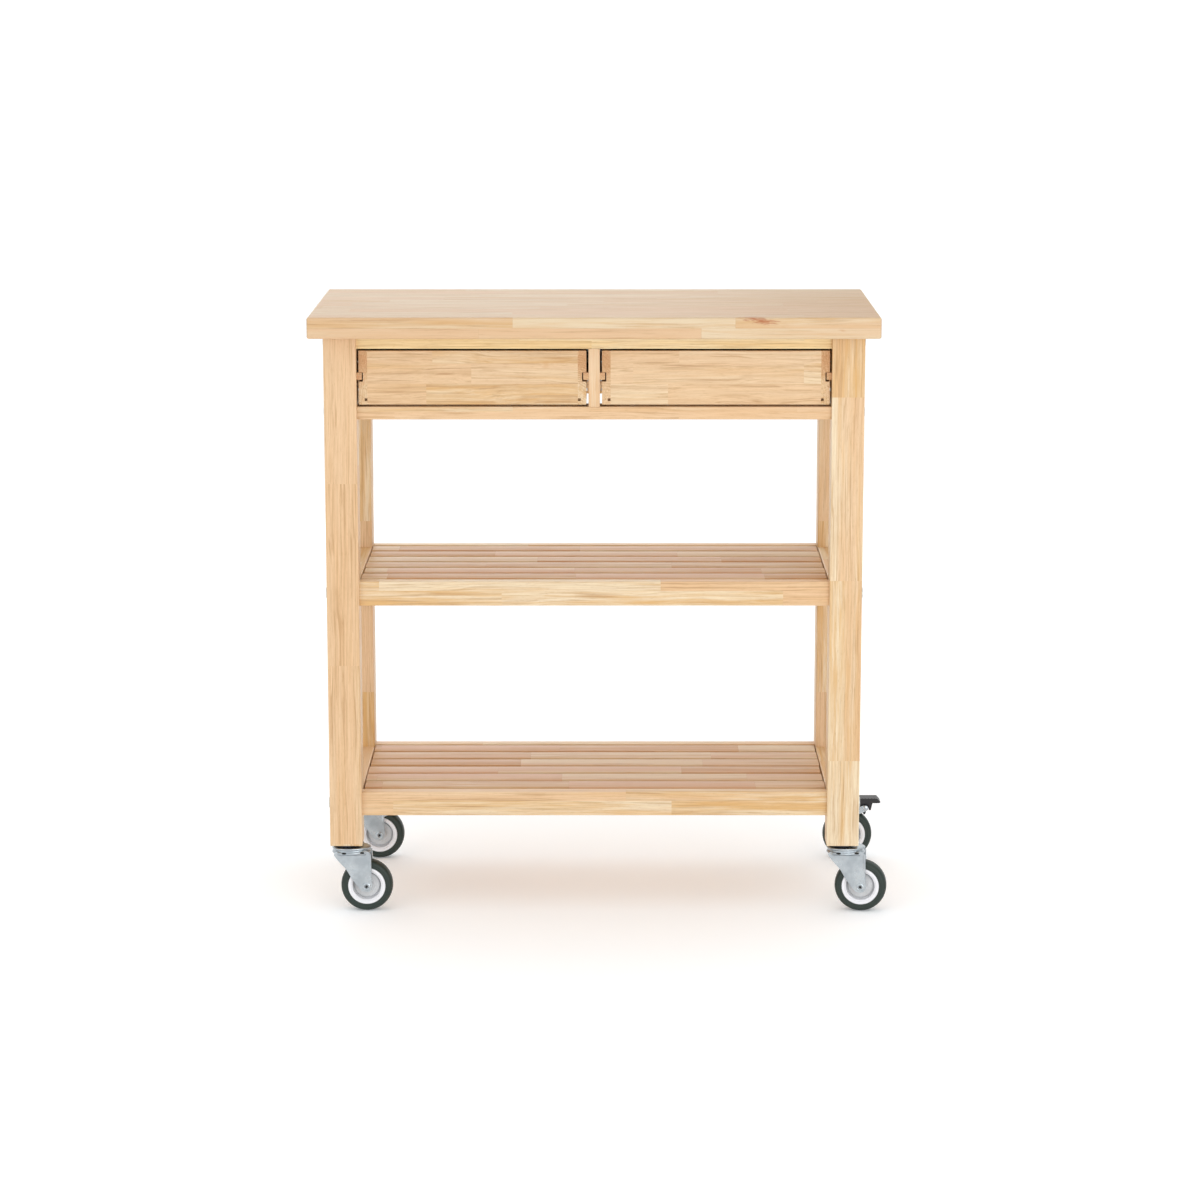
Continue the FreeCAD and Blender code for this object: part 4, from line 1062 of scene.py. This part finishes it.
wood_seats = seats("wood_screws")
runner_low, runner_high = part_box("drawer_runners")
runner_level = (runner_low.z + runner_high.z) / 2
in_runners = [seat for seat in wood_seats if abs(seat[0].z - runner_level) < 0.002]
in_frame = [seat for seat in wood_seats if seat not in in_runners]
for screws, length, chosen, seed in (
    ("long_wood_screws", LONG_SCREW, in_frame, 3),
    ("runner_screws", SHORT_SCREW, in_runners, 4),
):
    set_fixings(screws, screw_shape(length), "wood_screws", chosen, bolt_zinc, "frame", seed)
for side in ("left", "right"):
    node_name = f"drawer_{side}_screws"
    set_fixings(
        f"drawer_{side}_wood_screws",
        screw_shape(LONG_SCREW),
        node_name,
        seats(node_name),
        bolt_zinc,
        f"drawer_{side}",
        seed=6,
    )
finish_node("barrel_nuts", bolt_zinc)

# ---------------------------------------------------------------- casters
# Four 75 mm swivel casters on threaded stems. A round plate sits against the leg, a pressed
# zinc-plated fork turns under it on two rings of balls, and the front pair has a brake pedal.

caster_zinc = steel("caster_zinc", shade(190, 198, 203), shade(166, 174, 180), 45.0, 0.17, 1.0, 0.06)
# The mount plates' zinc is painted dark: painted shade in the gap under the legs.
shaded_mount_zinc = steel("shaded_mount_zinc", shade(96, 99, 110), shade(66, 69, 80), 120.0, 0.34, 0.8)


def moulded_skin():
    """A moulded surface: faint mottling, a fine texture and a little dust."""
    group, given = grown_group(
        "moulded_skin",
        (
            ("Vector", "Vector", None),
            ("Body", "Color", (0.5, 0.5, 0.5, 1)),
            ("Dust", "Color", (0.6, 0.6, 0.6, 1)),
            ("Dust Amount", "Float", 0.2),
            ("Texture", "Float", 1500.0),
            ("Gloss", "Float", 0.4),
        ),
        (("Color", "Color"), ("Roughness", "Float"), ("Height", "Float")),
    )
    take = given.outputs
    mottle = noise(group, stretch(group, take["Vector"], 60.0, 60.0, 60.0), 4.0, 0.6)
    grit = add(group, "ShaderNodeCombineXYZ", dict.fromkeys(range(3), take["Texture"])).outputs[0]
    fine = noise(group, vector_calc(group, "MULTIPLY", take["Vector"], grit), 2.0)
    settled = calc(group, "MULTIPLY", ramp(group, mottle, 0.35, 0.75), take["Dust Amount"])
    colour = blend(group, settled, take["Body"], take["Dust"])
    dull = calc(group, "MULTIPLY_ADD", mottle, 0.14, take["Gloss"])
    relief = calc(group, "MULTIPLY_ADD", fine, 0.6, calc(group, "MULTIPLY", mottle, 0.3))
    add(group, "NodeGroupOutput", {"Color": colour, "Roughness": dull, "Height": relief})
    return group


moulded_group = moulded_skin()


def moulding(name, body, dust, amount, texture, gloss, relief=0.2):
    """A plastic or rubber finish."""
    return coated(
        name, moulded_group, relief, body=body, dust=dust, dust_amount=amount, texture=texture, gloss=gloss
    )[0]


rim_plastic = moulding("rim_plastic", shade(232, 232, 236), shade(214, 214, 214), 0.25, 1200.0, 0.34)
# The core is painted a darker grey than the rim: painted shade in the recessed dish.
shaded_core_plastic = moulding("shaded_core_plastic", shade(204, 206, 208), shade(174, 174, 172), 0.5, 900.0, 0.4)
tyre_rubber = moulding("tyre_rubber", shade(34, 46, 40), shade(56, 70, 63), 0.25, 2600.0, 0.45, 0.35)
pedal_plastic = moulding("pedal_plastic", shade(30, 29, 32), shade(60, 58, 58), 0.25, 1800.0, 0.36)
# Near black, set in the crown's slots and the axle's bore: painted shade in these hollows.
hollow_shade_dark = moulding("hollow_shade_dark", shade(20, 20, 22), shade(34, 32, 30), 0.3, 900.0, 0.5)
# The seal rings are painted dark: painted shade in the gap under the legs.
shaded_seal_plastic = moulding("shaded_seal_plastic", shade(46, 46, 54), shade(70, 70, 76), 0.2, 1800.0, 0.45)

# The fork's and the rivets' sizes, in metres; places are from the swivel axis and the floor.
AXLE_BACK = 0.028
AXLE_HEIGHT = 0.0375
CHEEK_IN = 0.0135
STEEL = 0.0025
CHEEK_OUT = CHEEK_IN + STEEL
CROWN_LOW = 0.084
CROWN_HIGH = 0.0955
CROWN_RADIUS = 0.0215
PEDAL_BACK = 0.055
PEDAL_HEIGHT = 0.080
AXLE_RADIUS = 0.004
AXLE_HEAD = 0.006
AXLE_BORE = 0.0019
PIN_RADIUS = 0.0025
PIN_HEAD = 0.0043


def plate_between(outline, inner, outer):
    """A flat outline in the XZ plane, thickened between two distances along Y."""
    slab = bmesh.new()
    near = [slab.verts.new((x, inner, z)) for x, z in outline]
    far = [slab.verts.new((x, outer, z)) for x, z in outline]
    slab.faces.new(near)
    slab.faces.new(list(reversed(far)))
    for i in range(len(outline)):
        j = (i + 1) % len(outline)
        slab.faces.new((near[j], near[i], far[i], far[j]))
    bmesh.ops.recalc_face_normals(slab, faces=slab.faces)
    return slab


def round_ends(points, radius, steps=5):
    """A closed outline with every corner rounded."""
    closed = rounded([points[-1]] + list(points) + [points[0]], radius, steps)
    return closed[1:-1]


def peg(radius, start, end, steps=24):
    """A closed rod between two points."""
    start, end = Vector(start), Vector(end)
    rod = lathe([(0, 0), (radius, 0), (radius, (end - start).length), (0, (end - start).length)], steps)
    turn = (end - start).to_track_quat("Z", "Y").to_matrix().to_4x4()
    rod.transform(Matrix.Translation(start) @ turn)
    return rod


def fork_shape(braked):
    """Pressed steel fork: crown and shoulders, two slanting cheeks, and the brake's arms."""
    # The crown is drawn out over the wheel, further where no brake's arms follow it.
    reach = 1.30 if braked else 1.56
    crown = lathe(
        rounded(
            [(0, CROWN_LOW), (CROWN_RADIUS - 0.003, CROWN_LOW), (CROWN_RADIUS + 0.0004, CROWN_LOW + 0.0022),
             (CROWN_RADIUS + 0.0004, CROWN_LOW + 0.0042), (CROWN_RADIUS - 0.0016, CROWN_LOW + 0.0054),
             (CROWN_RADIUS - 0.0016, CROWN_HIGH - 0.0040), (CROWN_RADIUS + 0.0005, CROWN_HIGH - 0.0030),
             (CROWN_RADIUS + 0.0005, CROWN_HIGH - 0.0012), (CROWN_RADIUS - 0.0012, CROWN_HIGH),
             (0.0140, CROWN_HIGH), (0.0130, CROWN_HIGH - 0.0010), (0, CROWN_HIGH - 0.0010)],
            0.0007,
        ),
        80,
    )
    for vert in crown.verts:
        if vert.co.x > 0:
            vert.co.x *= reach
    parts = [crown]
    cheek = [
        (-0.0185, 0.0865), (-0.0185, 0.0835), (-0.0110, 0.0735), (-0.0015, 0.0638), (0.0054, 0.0513),
        (0.0187, 0.0327), (0.0225, 0.0300), (0.0280, 0.0290), (0.0335, 0.0305), (0.0365, 0.0375),
        (0.0350, 0.0560), (0.0345, 0.0865), (0.0300, 0.0905), (0.0000, 0.0915), (-0.0150, 0.0895),
    ]
    cheek = round_ends(cheek, 0.004)
    for way in (-1, 1):
        parts.append(plate_between(cheek, way * CHEEK_IN, way * CHEEK_OUT))
        # A rolled bead stiffens the trailing edge.
        parts.append(peg(0.0013, (0.0338, way * 0.0158, 0.0860), (0.0345, way * 0.0158, 0.0600), 12))
        # The shoulder: the cheek bends into the crown over a rounded corner.
        parts.append(peg(0.0032, (-0.0120, way * 0.0150, 0.0872), (0.0270, way * 0.0150, 0.0872), 24))
        if braked:
            arm = [
                (0.029, 0.0635), (0.0576, 0.0761), (0.0592, 0.0795), (0.0578, 0.0832), (0.0545, 0.0844),
                (0.0500, 0.0838), (0.029, 0.0750),
            ]
            parts.append(plate_between(round_ends(arm, 0.003), way * CHEEK_IN, way * CHEEK_OUT))
    block = joined(*parts)
    mesh = bpy.data.meshes.new("fork_blank")
    block.to_mesh(mesh)
    block.free()
    blank = bpy.data.objects.new("fork_blank", mesh)
    scene.collection.objects.link(blank)
    pressed = blank.modifiers.new("pressed", "REMESH")
    pressed.mode = "VOXEL"
    pressed.voxel_size = 0.0005
    soft = blank.modifiers.new("soft", "SMOOTH")
    soft.factor = 0.5
    soft.iterations = 2
    lighter = blank.modifiers.new("lighter", "DECIMATE")
    lighter.ratio = 0.25
    mesh = bpy.data.meshes.new_from_object(blank.evaluated_get(bpy.context.evaluated_depsgraph_get()))
    bpy.data.objects.remove(blank)
    fork = bmesh.new()
    fork.from_mesh(mesh)
    return carve(fork, race_slots(radius=0.0034, reach=0.0023, sunk=-0.0012))


def race_slots(radius, reach, sunk):
    """Four oval plugs round the crown, where its flanks are slotted over the ball race."""
    slots = []
    for way in (-1, 1):
        for x, depth in ((-0.0035, 0.0212), (0.0225, 0.0182)):
            slot = lathe([(0, -reach), (radius, -reach), (radius, reach), (0, reach)], 24)
            slot.transform(
                Matrix.Translation((x, way * (depth + sunk), 0.0880))
                @ Matrix.Rotation(math.pi / 2, 4, "X")
                @ Matrix.Diagonal((1.0, 0.42, 1.0, 1.0))
            )
            slots.append(slot)
    return joined(*slots)


def rim_shape():
    """The wheel's stepped rim, moulded in white round the core; the core's darker grey is painted shade in
    the dish.
    """
    half = [
        (0.0203, 0.0034), (0.0206, 0.0098), (0.0213, 0.0106), (0.0222, 0.0106), (0.0227, 0.0113),
        (0.0233, 0.0118), (0.0262, 0.0119), (0.0270, 0.0112),
    ]
    loop = rounded(half, 0.0006, 3)
    return lathe(loop + [(r, -h) for r, h in reversed(loop)], 96, closed=True)


def core_shape():
    """The wheel's dished web and its hub on the rivet, with a deep groove inside the rim."""
    half = [
        (0.0041, 0.0130), (0.0088, 0.0130), (0.0094, 0.0122), (0.0100, 0.0060), (0.0116, 0.0042),
        (0.0178, 0.0038), (0.0190, 0.0012), (0.0206, 0.0012),
    ]
    loop = rounded(half, 0.0007, 3)
    return lathe(loop + [(r, -h) for r, h in reversed(loop)], 96, closed=True)


def tyre_shape():
    """Rubber tyre: rounded shoulders, a shallow groove round each wall and a mould line."""
    half = [
        (0.0270, 0.0118), (0.0276, 0.0120), (0.0300, 0.0120), (0.0304, 0.0117), (0.0309, 0.0117),
        (0.0313, 0.0120), (0.0330, 0.0118), (0.0348, 0.0108), (0.0361, 0.0092), (0.0370, 0.0068),
        (0.0374, 0.0036), (0.03745, 0.0004), (0.0375, 0.0),
    ]
    loop = rounded(half, 0.0012, 3)
    return lathe(loop + [(r, -h) for r, h in reversed(loop[:-1])], 112, closed=True)


def rivet_shape(radius, head, reach, bore):
    """A rivet along its own axis with a rolled head at both ends, hollow or solid."""
    if bore:
        half = [
            (bore, 0.0), (bore, reach - 0.0012), (bore + 0.0009, reach + 0.0006),
            (bore + 0.0018, reach + 0.0012), (head - 0.0011, reach + 0.0010), (head, reach + 0.0003),
            (head, reach), (radius, reach), (radius, 0.0),
        ]
        loop = rounded(half, 0.0005, 3)
        return lathe(loop + [(r, -h) for r, h in reversed(loop[1:-1])], 48, closed=True)
    half = [(radius, 0.0), (radius, reach), (head, reach), (head * 0.96, reach + 0.0004),
            (head * 0.62, reach + 0.0012), (0, reach + 0.0014)]
    return lathe([(r, -h) for r, h in reversed(half)] + half[1:], 32)


ACROSS = Matrix.Rotation(math.pi / 2, 4, "X")

for end in ("back", "front"):
    for side in ("left", "right"):
        prefix = f"caster_{end}_{side}"
        braked = end == "front"
        leg_low, leg_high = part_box(f"leg_{end}_{side}")
        tyre_low, tyre_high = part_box(f"{prefix}_tyre")
        axis_x = (leg_low.x + leg_high.x) / 2
        axis_y = (leg_low.y + leg_high.y) / 2
        away = (tyre_low + tyre_high) / 2 - Vector((axis_x, axis_y, 0))
        trail = Matrix.Rotation(math.atan2(away.y, away.x), 4, "Z")
        stand = Matrix.Translation((axis_x, axis_y, 0)) @ trail
        hub = stand @ Matrix.Translation((AXLE_BACK, 0, AXLE_HEIGHT)) @ ACROSS

        fork = fork_shape(braked)
        fork.transform(stand)
        swivel = f"{prefix}_swivel"
        piece(f"{prefix}_pressed_fork", fork, caster_zinc, swivel, "zinc_steel", f"{prefix}_fork")
        # Dark plugs sunk in the crown's slots: painted shade in the slots.
        race = race_slots(radius=0.0035, reach=0.0012, sunk=-0.0030)
        race.transform(stand)
        piece(f"{prefix}_greased_race", race, hollow_shade_dark, swivel, "pedal_plastic", f"{prefix}_fork")

        rim = rim_shape()
        rim.transform(hub)
        piece(f"{prefix}_rim", rim, rim_plastic, f"{prefix}_roll", "rim_plastic", f"{prefix}_wheel")
        core = core_shape()
        core.transform(hub)
        piece(f"{prefix}_core", core, shaded_core_plastic, f"{prefix}_roll", "rim_plastic", f"{prefix}_wheel")

        tyre = tyre_shape()
        tyre.transform(hub)
        piece(f"{prefix}_rubber", tyre, tyre_rubber, f"{prefix}_roll", "tyre_rubber", f"{prefix}_tyre")

        axle = rivet_shape(AXLE_RADIUS, AXLE_HEAD, CHEEK_OUT, AXLE_BORE)
        axle.transform(hub)
        # A dark plug in the axle's hollow bore: painted shade in the hole.
        deep = CHEEK_OUT + 0.0007
        bore = lathe([(0, -deep), (AXLE_BORE, -deep), (0.0021, 0), (AXLE_BORE, deep), (0, deep)], 20)
        bore.transform(hub)
        rivet_node = f"{prefix}_rivets" if braked else f"{prefix}_rivet"
        piece(f"{prefix}_axle", axle, caster_zinc, swivel, "zinc_steel", rivet_node)
        piece(f"{prefix}_axle_bore", bore, hollow_shade_dark, swivel, "pedal_plastic", rivet_node)
        if braked:
            pin = rivet_shape(PIN_RADIUS, PIN_HEAD, CHEEK_OUT, bore=0)
            pin.transform(stand @ Matrix.Translation((PEDAL_BACK, 0, PEDAL_HEIGHT)) @ ACROSS)
            piece(f"{prefix}_pedal_pin", pin, caster_zinc, swivel, "zinc_steel", rivet_node)

# The fixed plates and their seals: turned steel against the leg, with a rubber ring below
# that keeps dust out of the balls. Plate and ring are coloured dark grey: painted shade for the
# gap under the leg. The stem is screwed into an insert in the leg.

plates = []
seals = []
for end in ("back", "front"):
    for side in ("left", "right"):
        leg_low, leg_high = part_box(f"leg_{end}_{side}")
        stand = Matrix.Translation(((leg_low.x + leg_high.x) / 2, (leg_low.y + leg_high.y) / 2, 0))
        plate = lathe(
            rounded(
                [
                    (0, 0.0816), (0.007, 0.0816), (0.007, 0.0836), (0.004, 0.0836), (0.004, 0.0959),
                    (0.0145, 0.0959), (0.0150, 0.0982), (0.0196, 0.0984), (0.0200, 0.0990),
                    (0.0200, 0.0999), (0.005, 0.0999), (0.005, 0.1320), (0, 0.1320),
                ],
                0.0006,
                3,
            ),
            48,
        )
        plate.transform(stand)
        plates.append(plate)
        seal = lathe(
            rounded(
                [(0.0152, 0.0961), (0.0170, 0.0961), (0.0176, 0.0970), (0.0170, 0.0980), (0.0152, 0.0980)],
                0.0003,
                2,
            ),
            48,
            closed=True,
        )
        seal.transform(stand)
        seals.append(seal)
piece("caster_plates", joined(*plates), shaded_mount_zinc, "frame", "zinc_steel", "caster_mounts")
piece("caster_seals", joined(*seals), shaded_seal_plastic, "frame", "pedal_plastic", "caster_mounts")

# ---------------------------------------------------------------- brake pedals
# Moulded black levers on a rivet behind the front wheels: a ribbed tread that the foot presses,
# two claws either side of the rivet and a nose that jams against the tyre.


def rib_tree():
    """Grip ribs across the tread: slim rounded bars in a row."""
    tree = bpy.data.node_groups.new("tread_ribs", "GeometryNodeTree")
    for label, kind in (
        ("Count", "Int"), ("Pitch", "Float"), ("Radius", "Float"), ("Length", "Float"),
        ("Finish", "Material"),
    ):
        tree.interface.new_socket(label, in_out="INPUT", socket_type=f"NodeSocket{kind}")
    tree.interface.new_socket("Geometry", in_out="OUTPUT", socket_type="NodeSocketGeometry")
    take = tree.nodes.new("NodeGroupInput").outputs
    half = calc(tree, "MULTIPLY", take["Length"], 0.5)
    minus = calc(tree, "MULTIPLY", take["Length"], -0.5)
    line = add(
        tree,
        "GeometryNodeCurvePrimitiveLine",
        {
            "Start": add(tree, "ShaderNodeCombineXYZ", {1: minus}).outputs[0],
            "End": add(tree, "ShaderNodeCombineXYZ", {1: half}).outputs[0],
        },
    ).outputs[0]
    ring = add(
        tree, "GeometryNodeCurvePrimitiveCircle", {"Resolution": 12, "Radius": take["Radius"]}
    ).outputs[0]
    rib = add(
        tree, "GeometryNodeCurveToMesh", {"Curve": line, "Profile Curve": ring, "Fill Caps": True}
    ).outputs[0]
    step = add(tree, "ShaderNodeCombineXYZ", {0: take["Pitch"]}).outputs[0]
    row = add(
        tree, "GeometryNodeMeshLine", {"Count": take["Count"], "Offset": step}, mode="OFFSET"
    ).outputs[0]
    laid = add(tree, "GeometryNodeInstanceOnPoints", {"Points": row, "Instance": rib}).outputs[0]
    solid = add(tree, "GeometryNodeRealizeInstances", {0: laid}).outputs[0]
    done = add(tree, "GeometryNodeSetMaterial", {"Geometry": solid, "Material": take["Finish"]}).outputs[0]
    add(tree, "NodeGroupOutput", {"Geometry": done})
    return tree


tread_ribs = rib_tree()
for side in ("left", "right"):
    prefix = f"caster_front_{side}"
    lever_low, lever_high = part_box(f"{prefix}_brake_pedal")
    lever = bmesh.new()
    lever.from_mesh(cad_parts[f"{prefix}_brake_pedal"].data)
    bmesh.ops.remove_doubles(lever, verts=lever.verts, dist=0.00001)
    bmesh.ops.dissolve_limit(lever, angle_limit=math.radians(1), verts=lever.verts, edges=lever.edges)
    made = piece(
        f"{prefix}_pedal", lever, pedal_plastic, f"{prefix}_pedal", "pedal_plastic", f"{prefix}_brake_pedal"
    )
    soften = made.modifiers.new("soft_edges", "BEVEL")
    soften.width = 0.0005
    soften.segments = 3
    soften.limit_method = "ANGLE"
    soften.angle_limit = math.radians(35)
    ribs = grown(
        f"{prefix}_pedal_ribs",
        tread_ribs,
        {"Count": 8, "Pitch": 0.0048, "Radius": 0.0007, "Length": 0.0205, "Finish": pedal_plastic},
    )
    ribs.data.transform(
        Matrix.Translation((lever_low.x + 0.0055, (lever_low.y + lever_high.y) / 2, lever_high.z - 0.0001))
    )
    smooth(ribs.data)
    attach(ribs, f"{prefix}_pedal")
